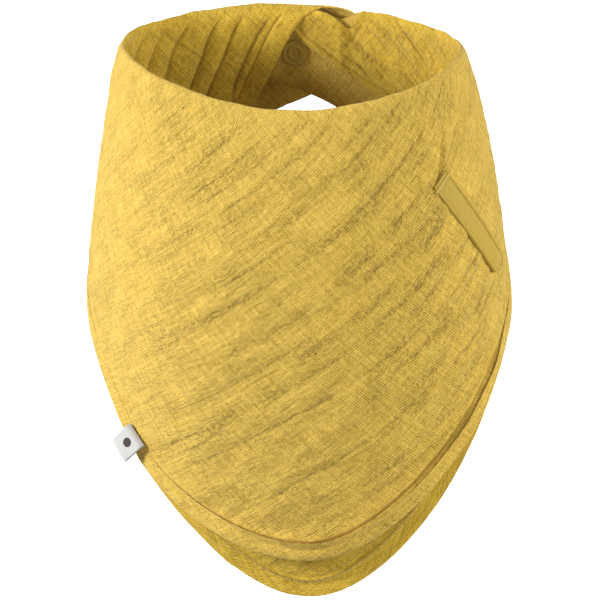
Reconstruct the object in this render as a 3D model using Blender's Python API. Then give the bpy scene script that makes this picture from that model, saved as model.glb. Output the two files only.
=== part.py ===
"""A baby's bandana bib in cotton muslin, snapped closed round the neck.

Metres, +Z up, the bib's front faces -Y.  Left and right are those of someone facing the bib, so right is +X.
The origin is the middle of the neck opening, level with its sides.
Cloth is laid out on one draped surface: an angle round the neck (0 at the front, positive to the right, 180
degrees at the back), a drop measured down the cloth from the neck fold, and a lift out of the surface.
"""
import math

import bmesh
import bpy
from mathutils import Vector

# The neck line, an oval seen from above.
NECK_HALF_WIDTH = 0.0728
NECK_HALF_DEPTH = 0.0534
NECK_SHIFT_X = -0.0025
NECK_FRONT_DIP = 0.0132
NECK_BACK_RISE = 0.0040
NECK_SKEW = 0.056          # the right side stands forward by this share of its x

# How the cloth falls from the neck line.
FALL = 0.985               # height lost for each metre of cloth
SWAY = 0.034               # drift to the right for each metre of height lost
SIDE_FLARE = 0.0085
SIDE_FLARE_DROP = 0.031
SIDE_SPREAD = 0.118
FRONT_FLARE = 0.0365
FRONT_FLARE_DROP = 0.063
FLARE_ENDS = math.radians(95)      # from here to the back the cloth hangs straight
FLARE_FADES = math.radians(45)

# The two layers of cloth, either side of the draped surface.
LAYER_GAP = 0.0005
CLOTH = 0.0015
OUTER_LAYER = (LAYER_GAP / 2, LAYER_GAP / 2 + CLOTH)
LINING_LAYER = (-LAYER_GAP / 2 - CLOTH, -LAYER_GAP / 2)

# The hem: a right angle with a rounded point in front, and a wing that narrows towards the back, for each side.
LINING_LENGTH = 0.212
HEM_SLOPE = {"left": 0.080, "right": 0.100}        # drop lost per radian
HEM_ROUNDING = {"left": 0.31, "right": 0.32}       # radians
WING_DROP = {"left": (0.0476, 0.033, 0.0064), "right": (0.0395, 0.030, 0.0072)}
WING_STARTS = math.radians(50)      # from the front: where the hem leaves the point
WING_IS_WHOLE = math.radians(78)
LAYER_STEP = 0.018         # how much longer the lining is at the point
LAYER_STEP_SIDE = 0.002
LAYER_STEP_ENDS = {"left": math.radians(48), "right": math.radians(80)}
WING_STEP = {"left": 0.014, "right": 0.027}        # how much shorter the lining is at the wing's end
WING_STEP_STARTS = 1.6     # radians from the back
HEM_WIDTH = 0.0075

# The wings, which cross at the back.
STRAP_ANGLE = math.radians(30)     # each strap starts this far from the middle of the back
STRAP_GAP = 0.0008
STRAP_TIP = {"left": -0.47, "right": -0.33}        # radians past the back
STRAP_TIP_ROUNDING = 0.22          # radians
STRAP_TIP_PINCH = 0.36             # share of the strap's depth that each side of the tip loses
RIGHT_TOP_FALL = 0.006             # the right strap dips below the neck line
TOP_FALL_OVER = 0.25               # radians
RIGHT_LINING_TIP = -0.10
RIGHT_LINING_FOOT = 0.0142         # the foot of the right strap's lining, at the middle of the back
RIGHT_LINING_SLOPE = 0.046         # and its drop per radian
RIGHT_LINING_TOP_FALL = 0.004
STRAP_STITCH_INSET = 0.0045
RIGHT_LINING_STITCH_INSET = 0.0035
LAP_STARTS = math.radians(62)      # from the back: where the left wing's layers part
LAP_ENDS = math.radians(36)
LAP_OUT = 0.00495                  # the left wing's outer layer passes outside the right wing
LAP_IN = -0.0031                   # and its lining passes inside it
FACING_TOP_ANGLE = -0.22           # the free edge of the left lining, radians from the back
FACING_LOW_ANGLE = 0.27
FACING_STEPS = 9

# Press snaps.
SNAP_ANGLE = 0.015                 # radians from the back
SNAP_DROP = 0.0231
CAP_RADIUS = 0.0062
CAP_HEIGHT = 0.0011
STUD_RADIUS = 0.0050
STUD_BASE = 0.0009
STUD_NUB_RADIUS = 0.0018
STUD_NUB = 0.0013
SOCKET_RADIUS = 0.0053
SOCKET_HOLE_RADIUS = 0.0026
SOCKET_HEIGHT = 0.00165
CLEARANCE = 0.0003

# The soother strap on the right of the front.
SOOTHER_START = (math.radians(45.3), 0.0375)
SOOTHER_ACROSS = math.radians(24)
SOOTHER_DOWN = 0.0525
SOOTHER_RADIUS = 0.081             # of the draped surface there
SOOTHER_WIDTH = 0.0100
SOOTHER_THICKNESS = 0.0011
SOOTHER_TAB = 0.085                # share of the strap that is sewn down
SOOTHER_SNAP_AT = 0.90
SOOTHER_STUD_SCALE = 0.76

# The side label, a ribbon folded round the hem.
LABEL_ANGLE = math.radians(-48.5)
LABEL_WIDTH = 0.0100
LABEL_OVER = 0.0060
LABEL_PROUD = 0.0042
LABEL_THICKNESS = 0.0005

THREAD_RADIUS = 0.00035
PANEL_COLUMNS = 60
PANEL_ROWS = 12


def smooth(x):
    x = min(1.0, max(0.0, x))
    return x * x * (3 - 2 * x)


def side_of(angle):
    return "right" if angle > 0 else "left"


def from_back(angle):
    """Radians from the middle of the back, negative past it."""
    return math.pi - abs(angle)


def draped(angle, drop):
    """A point of the draped surface."""
    hang = 1 - smooth((abs(angle) - FLARE_ENDS) / FLARE_FADES)
    flare = SIDE_FLARE * (1 - math.exp(-drop / SIDE_FLARE_DROP)) + SIDE_SPREAD * drop
    half_width = NECK_HALF_WIDTH + flare * hang
    half_depth = NECK_HALF_DEPTH
    forward = math.cos(angle)
    if forward > 0:
        half_depth += FRONT_FLARE * (1 - math.exp(-drop / FRONT_FLARE_DROP))
        neck_height = -NECK_FRONT_DIP * forward ** 2
    else:
        neck_height = NECK_BACK_RISE * forward ** 2
    x = half_width * math.sin(angle)
    y = -half_depth * forward - NECK_SKEW * x
    z = neck_height - FALL * drop
    return Vector((x + NECK_SHIFT_X - SWAY * z, y, z))


def outward(angle, drop):
    """The surface's unit normal, away from the neck."""
    step = 0.0005
    along = draped(angle + step / NECK_HALF_WIDTH, drop) - draped(angle - step / NECK_HALF_WIDTH, drop)
    down = draped(angle, drop + step) - draped(angle, drop - step)
    return down.cross(along).normalized()


def cloth_point(angle, drop, lift):
    return draped(angle, drop) + outward(angle, drop) * lift


def wing_lift(angle, amount):
    """The extra lift of a left wing layer where it passes the right wing."""
    if angle > 0:
        return 0.0
    return amount * smooth((LAP_STARTS - from_back(angle)) / (LAP_STARTS - LAP_ENDS))


def hem_lining_front(angle):
    side = side_of(angle)
    rounding = HEM_ROUNDING[side]
    return LINING_LENGTH - HEM_SLOPE[side] * (math.hypot(angle, rounding) - rounding)


def wing_edge(side, back):
    """The foot of a wing's outer layer, by its angle from the back."""
    start, slope, curve = WING_DROP[side]
    return start + slope * back + curve * back * abs(back)


def layer_step(angle):
    """How far the lining hangs below the outer layer."""
    side = side_of(angle)
    front = LAYER_STEP * (1 - smooth(abs(angle) / LAYER_STEP_ENDS[side]))
    wing = WING_STEP[side] * (1 - smooth(from_back(angle) / WING_STEP_STARTS))
    return LAYER_STEP_SIDE + front - wing


def hem_outer(angle):
    front = hem_lining_front(angle) - layer_step(angle)
    share = smooth((abs(angle) - WING_STARTS) / (WING_IS_WHOLE - WING_STARTS))
    return front + (wing_edge(side_of(angle), from_back(angle)) - front) * share


def hem_lining(angle):
    return hem_outer(angle) + layer_step(angle)


def hem_inset(hem, angle, inset):
    """The drop of a line that keeps a distance from a hem."""
    step = 0.01
    rise = (hem(angle + step) - hem(angle - step)) / (2 * step * 0.085)
    return hem(angle) - inset * math.hypot(1, rise)


# ---- mesh helpers ----

def material(name, colour, roughness, metallic=0.0):
    made = bpy.data.materials.new(name)
    made.use_nodes = True
    shader = made.node_tree.nodes["Principled BSDF"]
    shader.inputs["Base Color"].default_value = (*colour, 1.0)
    shader.inputs["Roughness"].default_value = roughness
    shader.inputs["Metallic"].default_value = metallic
    return made


def add_object(name, points, faces, look, pivot=None):
    """A closed body whose origin is at the pivot."""
    pivot = pivot or Vector((0, 0, 0))
    mesh = bpy.data.meshes.new(name)
    mesh.from_pydata([Vector(p) - pivot for p in points], [], faces)
    shape = bmesh.new()
    shape.from_mesh(mesh)
    bmesh.ops.recalc_face_normals(shape, faces=shape.faces)
    bmesh.ops.triangulate(shape, faces=shape.faces)
    shape.to_mesh(mesh)
    shape.free()
    mesh.materials.append(look)
    mesh.shade_smooth()
    mesh.set_sharp_from_angle(angle=math.radians(40))
    body = bpy.data.objects.new(name, mesh)
    body.location = pivot
    bpy.context.collection.objects.link(body)
    return body


def sheet(name, columns, layer, look, rows, pivot=None, lift=lambda angle: 0.0):
    """A closed sheet of cloth.  Each column is ((angle, drop) at its top, (angle, drop) at its foot)."""
    points = []
    for face in layer:
        for top, foot in columns:
            for row in range(rows + 1):
                share = row / rows
                angle = top[0] + (foot[0] - top[0]) * share
                drop = top[1] + (foot[1] - top[1]) * share
                points.append(cloth_point(angle, drop, face + lift(angle)))
    return add_object(name, points, slab_faces(len(columns), rows + 1), look, pivot)


def slab_faces(columns, rows):
    """The faces of a slab whose two sides are equal grids of points, one after the other."""
    total = columns * rows

    def index(side, column, row):
        return side * total + column * rows + row

    faces = []
    for column in range(columns - 1):
        for row in range(rows - 1):
            corners = [(column, row), (column, row + 1), (column + 1, row + 1), (column + 1, row)]
            faces.append([index(0, *c) for c in corners])
            faces.append([index(1, *c) for c in reversed(corners)])
    rim = [(c, 0) for c in range(columns)] + [(columns - 1, r) for r in range(1, rows)]
    rim += [(c, rows - 1) for c in reversed(range(columns - 1))] + [(0, r) for r in reversed(range(1, rows - 1))]
    for here, there in zip(rim, rim[1:] + rim[:1]):
        faces.append([index(0, *here), index(0, *there), index(1, *there), index(1, *here)])
    return faces


def thread(name, route, look, pivot=None, sides=5):
    """A run of stitching: a thin round tube along a route of (angle, drop, lift)."""
    path = [cloth_point(*place) for place in route]
    up = [outward(angle, drop) for angle, drop, _ in route]
    points = []
    for i, here in enumerate(path):
        ahead = path[min(i + 1, len(path) - 1)] - path[max(i - 1, 0)]
        across = ahead.cross(up[i]).normalized()
        over = across.cross(ahead).normalized()
        for k in range(sides):
            turn = 2 * math.pi * k / sides
            points.append(here + (across * math.cos(turn) + over * math.sin(turn)) * THREAD_RADIUS)
    faces = [list(range(sides)), [len(points) - 1 - k for k in range(sides)]]
    for i in range(len(path) - 1):
        for k in range(sides):
            low, high = i * sides, (i + 1) * sides
            faces.append([low + k, low + (k + 1) % sides, high + (k + 1) % sides, high + k])
    return add_object(name, points, faces, look, pivot)


def turned(name, profile, base, axis, look, pivot=None, segments=28):
    """A turned piece.  The profile is (radius, height) and runs from axis to axis, or is a closed ring."""
    side = axis.cross(Vector((0, 0, 1))).normalized()
    other = axis.cross(side)
    points, rings = [], []
    for radius, height in profile:
        centre = base + axis * height
        if radius == 0:
            rings.append([len(points)])
            points.append(centre)
            continue
        rings.append([len(points) + k for k in range(segments)])
        for k in range(segments):
            turn = 2 * math.pi * k / segments
            points.append(centre + (side * math.cos(turn) + other * math.sin(turn)) * radius)
    pairs = list(zip(rings, rings[1:]))
    if profile[0][0] > 0:
        pairs.append((rings[-1], rings[0]))
    faces = []
    for low, high in pairs:
        for k in range(segments):
            after = (k + 1) % segments
            corners = [low[k % len(low)], low[after % len(low)], high[after % len(high)], high[k % len(high)]]
            faces.append(list(dict.fromkeys(corners)))
    return add_object(name, points, faces, look, pivot)


# ---- pieces ----

def panel_columns(hem, first, last):
    columns = []
    for i in range(PANEL_COLUMNS + 1):
        angle = first + (last - first) * i / PANEL_COLUMNS
        columns.append(((angle, 0.0), (angle, hem(angle))))
    return columns


def strap_seam(side):
    """Where a strap meets its panel: the angle of each side of the small gap, and the fold line on the outer face."""
    turn = 1 if side == "right" else -1
    angle = turn * (math.pi - STRAP_ANGLE)
    half_gap = turn * STRAP_GAP / 2 / NECK_HALF_WIDTH
    lift = OUTER_LAYER[1] + wing_lift(angle, LAP_OUT)
    return angle - half_gap, angle + half_gap, cloth_point(angle, 0.03, lift)


def strap_columns(side, low_edge, top_fall, tip, steps=12):
    """The columns of a strap that runs from its seam past the back to a rounded tip."""
    turn = 1 if side == "right" else -1
    start = from_back(strap_seam(side)[1])
    columns = []
    for i in range(steps + 1):
        share = math.sin(math.pi / 2 * i / steps)
        back = start + (tip - start) * share
        top = top_fall * smooth((start - back) / TOP_FALL_OVER)
        foot = low_edge(back)
        near_tip = max(0.0, 1 - (back - tip) / STRAP_TIP_ROUNDING)
        pinch = (1 - math.sqrt(max(0.0, 1 - near_tip ** 2))) * (foot - top) * STRAP_TIP_PINCH
        angle = turn * (math.pi - back)
        columns.append(((angle, top + pinch), (angle, foot - pinch)))
    return columns


def add_panels(cloth, lining_look):
    left_end = strap_seam("left")[0]
    right_end = strap_seam("right")[0]
    sheet("outer_panel", panel_columns(hem_outer, left_end, right_end), OUTER_LAYER, cloth, PANEL_ROWS,
          lift=lambda angle: wing_lift(angle, LAP_OUT))
    columns = panel_columns(hem_lining, left_end, right_end)
    facing = []
    for i in range(1, FACING_STEPS + 1):
        share = i / FACING_STEPS
        top = left_end - (from_back(left_end) - FACING_TOP_ANGLE) * share
        foot = left_end - (from_back(left_end) - FACING_LOW_ANGLE) * share
        facing.append(((top, 0.0), (foot, hem_lining(foot))))
    sheet("lining_panel", facing[::-1] + columns, LINING_LAYER, lining_look, PANEL_ROWS,
          lift=lambda angle: wing_lift(angle, LAP_IN))


def hem_thread(name, hem, first, last, lift, look, steps, extra=lambda angle: 0.0):
    route = []
    for i in range(steps + 1):
        angle = first + (last - first) * i / steps
        route.append((angle, hem_inset(hem, angle, HEM_WIDTH), lift + extra(angle)))
    return thread(name, route, look)


def add_hem_stitching(look):
    end = math.pi - STRAP_ANGLE - 0.03
    off = CLEARANCE + THREAD_RADIUS
    hem_thread("outer_hem_stitching", hem_outer, -end, end, OUTER_LAYER[1] + off, look, 84,
               lambda angle: wing_lift(angle, LAP_OUT))
    hem_thread("lining_hem_stitching", hem_lining, math.radians(-18), math.radians(27),
               LINING_LAYER[1] + off, look, 20)
    hem_thread("lining_hem_stitching_inside", hem_lining, -end, end, LINING_LAYER[0] - off, look, 84,
               lambda angle: wing_lift(angle, LAP_IN))


def right_lining_edge(back):
    return RIGHT_LINING_FOOT + RIGHT_LINING_SLOPE * back


def edge_route(columns, lift):
    """Stitching along a strap's foot and up round its tip."""
    route = [(angle, foot - STRAP_STITCH_INSET, lift) for _, (angle, foot) in columns[1:-1]]
    (tip_angle, top), (_, foot) = columns[-2]
    foot -= STRAP_STITCH_INSET
    top += STRAP_STITCH_INSET
    for share in (0.35, 0.7, 1.0):
        route.append((tip_angle, foot + (top - foot) * share, lift))
    return route


def add_straps(cloth, lining_look, stitch):
    off = CLEARANCE + THREAD_RADIUS
    pivot = strap_seam("left")[2]
    columns = strap_columns("left", lambda back: wing_edge("left", back), 0.0, STRAP_TIP["left"])
    sheet("left_strap", columns, OUTER_LAYER, cloth, 6, pivot, lambda angle: LAP_OUT)
    thread("left_strap_stitching", edge_route(columns, OUTER_LAYER[1] + LAP_OUT + off), stitch, pivot)
    pivot = strap_seam("right")[2]
    columns = strap_columns("right", lambda back: wing_edge("right", back), RIGHT_TOP_FALL, STRAP_TIP["right"])
    sheet("right_strap", columns, OUTER_LAYER, cloth, 6, pivot)
    lining = strap_columns("right", right_lining_edge, RIGHT_LINING_TOP_FALL, RIGHT_LINING_TIP, steps=8)
    sheet("right_strap_lining", lining, LINING_LAYER, lining_look, 4, pivot)
    seam = [(angle, foot - RIGHT_LINING_STITCH_INSET, LINING_LAYER[0] - off) for _, (angle, foot) in lining[1:-1]]
    thread("right_strap_stitching", seam, stitch, pivot)


def cap_profile():
    """A press snap's cap, seen from the face that shows: a rim, a groove, a ring and a dished middle."""
    rim, ring = CAP_RADIUS, CAP_RADIUS * 0.70
    return [(0, 0), (rim - 0.0002, 0), (rim, 0.0003), (rim - 0.0004, CAP_HEIGHT * 0.75),
            (ring + 0.0006, CAP_HEIGHT * 0.8), (ring + 0.0003, CAP_HEIGHT * 0.55), (ring, CAP_HEIGHT),
            (ring - 0.0009, CAP_HEIGHT), (ring - 0.0016, CAP_HEIGHT * 0.6), (0, CAP_HEIGHT * 0.45)]


def stud_profile(scale=1.0):
    return [(0, 0), (STUD_RADIUS * scale, 0), (STUD_RADIUS * scale, STUD_BASE), (STUD_NUB_RADIUS, STUD_BASE),
            (STUD_NUB_RADIUS, STUD_BASE + STUD_NUB * 0.7), (STUD_NUB_RADIUS * 0.7, STUD_BASE + STUD_NUB),
            (0, STUD_BASE + STUD_NUB)]


def socket_profile(scale=1.0):
    rim = SOCKET_RADIUS * scale
    return [(SOCKET_HOLE_RADIUS, 0), (rim, 0), (rim, SOCKET_HEIGHT * 0.6), (rim * 0.85, SOCKET_HEIGHT),
            (SOCKET_HOLE_RADIUS, SOCKET_HEIGHT)]


def add_closure_snap(look):
    angle = math.pi - SNAP_ANGLE
    axis = outward(angle, SNAP_DROP)
    place = draped(angle, SNAP_DROP)
    right_pivot = strap_seam("right")[2]
    left_pivot = strap_seam("left")[2]
    inner, outer = OUTER_LAYER
    turned("closure_inner_cap", cap_profile(), place + axis * (inner - CLEARANCE), -axis, look, right_pivot)
    turned("closure_stud", stud_profile(), place + axis * (outer + CLEARANCE), axis, look, right_pivot)
    turned("closure_socket", socket_profile(), place + axis * (inner + LAP_OUT - CLEARANCE), -axis, look, left_pivot)
    turned("closure_outer_cap", cap_profile(), place + axis * (outer + LAP_OUT + CLEARANCE), axis, look, left_pivot)


def soother_place(along, across):
    """The (angle, drop) of a point of the soother strap: along runs 0 to 1, across -1 to 1."""
    reach = SOOTHER_ACROSS * SOOTHER_RADIUS
    length = math.hypot(reach, SOOTHER_DOWN)
    sideways = SOOTHER_DOWN / length * across * SOOTHER_WIDTH / 2
    upward = -reach / length * across * SOOTHER_WIDTH / 2
    angle = SOOTHER_START[0] + SOOTHER_ACROSS * along + sideways / SOOTHER_RADIUS
    return angle, SOOTHER_START[1] + SOOTHER_DOWN * along + upward


def soother_lift(along):
    """The strap's underside, which rises to the snap near its loose end."""
    low = OUTER_LAYER[1] + 0.0004
    high = OUTER_LAYER[1] + 4 * CLEARANCE + SOCKET_HEIGHT + STUD_BASE * 1.1
    return low + (high - low) * smooth(along / SOOTHER_SNAP_AT)


def soother_sheet(name, first, last, look, pivot, round_end=False):
    steps, rows = (14, 4) if round_end else (2, 4)
    points = []
    for face in (0.0, SOOTHER_THICKNESS):
        for i in range(steps + 1):
            share = math.sin(math.pi / 2 * i / steps) if round_end else i / steps
            along = first + (last - first) * share
            half = 1.0
            if round_end:
                near_end = max(0.0, 1 - (last - along) / 0.075)
                half = math.sqrt(max(0.06, 1 - near_end ** 2))
            for row in range(rows + 1):
                across = (row / rows * 2 - 1) * half
                points.append(cloth_point(*soother_place(along, across), soother_lift(along) + face))
    return add_object(name, points, slab_faces(steps + 1, rows + 1), look, pivot)


def soother_pivot():
    place = soother_place(SOOTHER_TAB + 0.004, 0)
    return cloth_point(*place, soother_lift(SOOTHER_TAB) + SOOTHER_THICKNESS)


def add_soother_strap(look, stitch, snap):
    pivot = soother_pivot()
    soother_sheet("soother_strap_tab", 0.0, SOOTHER_TAB, look, None)
    soother_sheet("soother_strap", SOOTHER_TAB + 0.012, 1.0, look, pivot, round_end=True)
    over = SOOTHER_THICKNESS + CLEARANCE + THREAD_RADIUS
    route = []
    for share, across in [(i / 8, -0.78) for i in range(9)] + [(1.035, 0.0)] + [(1 - i / 8, 0.78) for i in range(9)]:
        along = SOOTHER_TAB + 0.03 + (0.93 - SOOTHER_TAB - 0.03) * share
        route.append((*soother_place(along, across), soother_lift(along) + over))
    thread("soother_strap_stitching", route, stitch, pivot)
    tack = []
    for face in (0.0, 0.0007):
        for along in (0.015, 0.065):
            for across in (-0.85, 0.0, 0.85):
                lift = soother_lift(along) + SOOTHER_THICKNESS + CLEARANCE + face
                tack.append(cloth_point(*soother_place(along, across), lift))
    add_object("soother_strap_bar_tack", tack, slab_faces(2, 3), stitch)
    place = soother_place(SOOTHER_SNAP_AT, 0)
    axis = outward(*place)
    base = draped(*place)
    lift = OUTER_LAYER[1] + CLEARANCE
    turned("soother_socket", socket_profile(SOOTHER_STUD_SCALE), base + axis * lift, axis, snap)
    turned("soother_stud", stud_profile(SOOTHER_STUD_SCALE), base + axis * (soother_lift(1.0) - CLEARANCE), -axis,
           snap, pivot)


def add_side_label(look):
    """A ribbon folded round the hem: a U whose two leaves lie on the two faces of the cloth."""
    face = OUTER_LAYER[1] + CLEARANCE + LABEL_THICKNESS / 2
    path = [(LABEL_OVER, face), (0.0, face), (-LABEL_PROUD * 0.6, face)]
    for i in range(1, 6):
        turn = math.pi * i / 6
        path.append((-LABEL_PROUD * (0.6 + 0.4 * math.sin(turn)), face * math.cos(turn)))
    path += [(-inset, -lift) for inset, lift in [(LABEL_PROUD * 0.6, face), (0.0, face), (-LABEL_OVER, face)]]
    half = LABEL_THICKNESS / 2
    slope = HEM_SLOPE["left"] / 0.088
    points = []
    for side in (-half, half):
        for i, (inset, lift) in enumerate(path):
            before, after = path[max(i - 1, 0)], path[min(i + 1, len(path) - 1)]
            run, rise = after[0] - before[0], after[1] - before[1]
            size = math.hypot(run, rise)
            deep = inset + side * rise / size
            high = lift - side * run / size
            for k in range(3):
                angle = LABEL_ANGLE + (k / 2 - 0.5) * LABEL_WIDTH / math.hypot(1, slope) / 0.085
                points.append(cloth_point(angle, hem_inset(hem_lining, angle, deep), high))
    add_object("side_label", points, slab_faces(len(path), 3), look)


def build():
    for old in list(bpy.data.objects):
        bpy.data.objects.remove(old)
    cloth = material("muslin", (0.62, 0.42, 0.11), 0.9)
    lining = material("muslin_lining", (0.58, 0.39, 0.10), 0.9)
    thread_look = material("thread", (0.60, 0.42, 0.14), 0.6)
    satin = material("satin_ribbon", (0.55, 0.37, 0.09), 0.45)
    plastic = material("snap_plastic", (0.45, 0.31, 0.08), 0.35)
    label = material("label_ribbon", (0.85, 0.84, 0.80), 0.8)
    add_panels(cloth, lining)
    add_hem_stitching(thread_look)
    add_straps(cloth, lining, thread_look)
    add_closure_snap(plastic)
    add_soother_strap(satin, thread_look, plastic)
    add_side_label(label)


build()
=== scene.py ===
import math
from collections import namedtuple

import bpy
import numpy as np
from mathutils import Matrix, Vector


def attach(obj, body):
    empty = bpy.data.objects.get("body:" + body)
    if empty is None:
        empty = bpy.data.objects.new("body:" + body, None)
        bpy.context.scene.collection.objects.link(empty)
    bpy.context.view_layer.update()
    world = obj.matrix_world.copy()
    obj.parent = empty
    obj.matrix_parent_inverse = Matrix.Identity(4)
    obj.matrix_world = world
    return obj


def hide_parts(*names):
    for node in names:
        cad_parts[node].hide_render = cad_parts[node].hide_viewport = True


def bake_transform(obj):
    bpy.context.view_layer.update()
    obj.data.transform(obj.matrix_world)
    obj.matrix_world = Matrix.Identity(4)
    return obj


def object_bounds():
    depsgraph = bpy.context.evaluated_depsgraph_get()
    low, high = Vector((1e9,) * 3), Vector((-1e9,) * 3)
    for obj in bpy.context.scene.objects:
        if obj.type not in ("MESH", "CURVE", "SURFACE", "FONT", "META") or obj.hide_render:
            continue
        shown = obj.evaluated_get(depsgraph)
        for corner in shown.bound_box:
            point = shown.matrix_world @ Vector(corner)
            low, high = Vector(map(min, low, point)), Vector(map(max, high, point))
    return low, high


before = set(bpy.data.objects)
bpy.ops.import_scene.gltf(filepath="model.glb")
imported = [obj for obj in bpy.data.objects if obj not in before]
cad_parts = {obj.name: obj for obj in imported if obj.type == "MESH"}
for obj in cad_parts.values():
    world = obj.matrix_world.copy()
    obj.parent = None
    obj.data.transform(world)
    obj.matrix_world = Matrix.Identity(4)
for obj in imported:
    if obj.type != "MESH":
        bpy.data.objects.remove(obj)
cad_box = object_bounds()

# ---------- the draped surface, as in the CAD model
NECK_HALF_WIDTH = 0.0728
NECK_HALF_DEPTH = 0.0534
NECK_SHIFT_X = -0.0025
NECK_FRONT_DIP = 0.0132
NECK_BACK_RISE = 0.0040
NECK_SKEW = 0.056
FALL = 0.985
SWAY = 0.034
SIDE_FLARE = 0.0085
SIDE_FLARE_DROP = 0.031
SIDE_SPREAD = 0.118
FRONT_FLARE = 0.0365
FRONT_FLARE_DROP = 0.063
FLARE_ENDS = math.radians(95)
FLARE_FADES = math.radians(45)
LINING_LENGTH = 0.212
HEM_SLOPE = (0.080, 0.100)            # left, right
HEM_ROUNDING = (0.31, 0.32)
WING_DROP = ((0.0476, 0.033, 0.0064), (0.0395, 0.030, 0.0072))  # left, right: at the back, slope, curve
WING_STARTS = math.radians(50)
WING_IS_WHOLE = math.radians(78)
LAYER_STEP = 0.018
LAYER_STEP_SIDE = 0.002
LAYER_STEP_ENDS = (math.radians(48), math.radians(80))
WING_STEP = (0.014, 0.027)
WING_STEP_STARTS = 1.6
STRAP_TIP = (-0.47, -0.33)            # radians past the back
RIGHT_LINING_TIP = -0.045
RIGHT_LINING_FOOT = 0.0150
RIGHT_LINING_SLOPE = 0.046
RIGHT_LINING_PARTS = 0.72             # radians from the back
RIGHT_LINING_PARTS_OVER = 0.22
SNAP_ANGLE = math.pi - 0.015
SNAP_DROP = 0.0231

# ---------- how the cloth lies on it
CLOTH_RADIUS = 0.082                  # turns an angle into a length on the cloth
BACK_RADIUS = 0.0728
OUTER_LIFT = 0.0015                   # each layer's visible face, from the draped surface
LINING_LIFT = -0.0014
LAP_STARTS = math.radians(54)         # from the back: where the left wing's layers part
LAP_ENDS = math.radians(24)
LAP_OUT = 0.0046
LAP_IN = -0.0030
FOLD_DEPTH = 0.0042
HEM_WIDTH = 0.0075
CLOTH_THICK = 0.0013
WING_ANGLE = math.radians(139)        # where the wings' own pieces start
FACING_EDGE = (-0.087, 7.7, -0.100, 0.0030)  # start, slope, curl, and the drop the curl takes
SOOTHER_START = (math.radians(45.3), 0.0375)
SOOTHER_ACROSS = math.radians(22.5)
SOOTHER_DOWN = 0.0515
SOOTHER_RADIUS = 0.081
SOOTHER_REACH = SOOTHER_ACROSS * SOOTHER_RADIUS
SOOTHER_LENGTH = math.hypot(SOOTHER_REACH, SOOTHER_DOWN)
SOOTHER_WIDTH = 0.0096
SOOTHER_LOW = 0.0018
SOOTHER_HIGH = 0.0026
SOOTHER_UNDER = 0.0014
SOOTHER_TILT = 0.0004                 # its outer edge stands a little prouder
SOOTHER_SNAP_AT = 0.90

TAU = 2 * math.pi
PROBE = 0.0005                        # the step that finds the surface's outward direction

Layer = namedtuple("Layer", "side hem seed")


def smooth(x):
    x = np.clip(x, 0.0, 1.0)
    return x * x * (3 - 2 * x)


def rising(x, start, over):
    return smooth((x - start) / over)


def bump(x, width):
    return np.exp(-(x / width) ** 2)


def unit(vectors):
    return vectors / np.maximum(np.linalg.norm(vectors, axis=-1, keepdims=True), 1e-12)


def pick(angle, pair):
    return np.where(np.asarray(angle) > 0, pair[1], pair[0])


def from_back(angle):
    return math.pi - np.abs(angle)


def draped(angle, drop):
    """The surface that both layers hang on, by the angle round the neck and the drop below it."""
    angle, drop = np.broadcast_arrays(np.asarray(angle, float), np.asarray(drop, float))
    hang = 1 - smooth((np.abs(angle) - FLARE_ENDS) / FLARE_FADES)
    down = np.maximum(drop, 0.0)
    flare = SIDE_FLARE * (1 - np.exp(-down / SIDE_FLARE_DROP)) + SIDE_SPREAD * down
    half_width = NECK_HALF_WIDTH + flare * hang
    forward = np.cos(angle)
    front = forward > 0
    bulge = FRONT_FLARE * (1 - np.exp(-down / FRONT_FLARE_DROP))
    half_depth = NECK_HALF_DEPTH + np.where(front, bulge, 0.0)
    neck_height = np.where(front, -NECK_FRONT_DIP, NECK_BACK_RISE) * forward ** 2
    x = half_width * np.sin(angle)
    y = -half_depth * forward - NECK_SKEW * x
    z = neck_height - FALL * drop
    return np.stack([x + NECK_SHIFT_X - SWAY * z, y, z], -1)


def outward(angle, drop):
    """The draped surface's outward direction, from small steps along it and down it."""
    turn = PROBE / NECK_HALF_WIDTH
    along = draped(angle + turn, drop) - draped(angle - turn, drop)
    down = draped(angle, drop + PROBE) - draped(angle, drop - PROBE)
    return unit(np.cross(down, along))


def cloth_point(angle, drop, lift):
    return draped(angle, drop) + outward(angle, drop) * np.asarray(lift)[..., None]


def lap(angle, amount):
    """How far a layer moves where the right strap lies between the left wing's two."""
    share = smooth((LAP_STARTS - from_back(angle)) / (LAP_STARTS - LAP_ENDS))
    return np.where(np.asarray(angle) < 0, amount * share, 0.0)


def wing_edge(side, back):
    start, slope, curve = WING_DROP[side]
    return start + slope * back + curve * back * np.abs(back)


def layer_step(angle):
    """How much longer the lining is than the outer layer."""
    front = LAYER_STEP * (1 - smooth(np.abs(angle) / pick(angle, LAYER_STEP_ENDS)))
    wing = pick(angle, WING_STEP) * (1 - smooth(from_back(angle) / WING_STEP_STARTS))
    return LAYER_STEP_SIDE + front - wing


def hem_outer(angle):
    angle = np.asarray(angle, float)
    rounding = pick(angle, HEM_ROUNDING)
    rise = pick(angle, HEM_SLOPE) * (np.hypot(angle, rounding) - rounding)
    front = LINING_LENGTH - rise - layer_step(angle)
    wing = pick(angle, [wing_edge(side, from_back(angle)) for side in (0, 1)])
    return front + (wing - front) * smooth((np.abs(angle) - WING_STARTS) / (WING_IS_WHOLE - WING_STARTS))


def hem_lining(angle):
    """The lining's foot; on the right strap it follows the strap's own shorter lining."""
    foot = hem_outer(angle) + layer_step(angle)
    back = from_back(angle)
    strap = RIGHT_LINING_FOOT + RIGHT_LINING_SLOPE * back
    share = smooth((RIGHT_LINING_PARTS - back) / RIGHT_LINING_PARTS_OVER)
    return foot + (strap - foot) * np.where(np.asarray(angle) > 0, share, 0.0)


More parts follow.
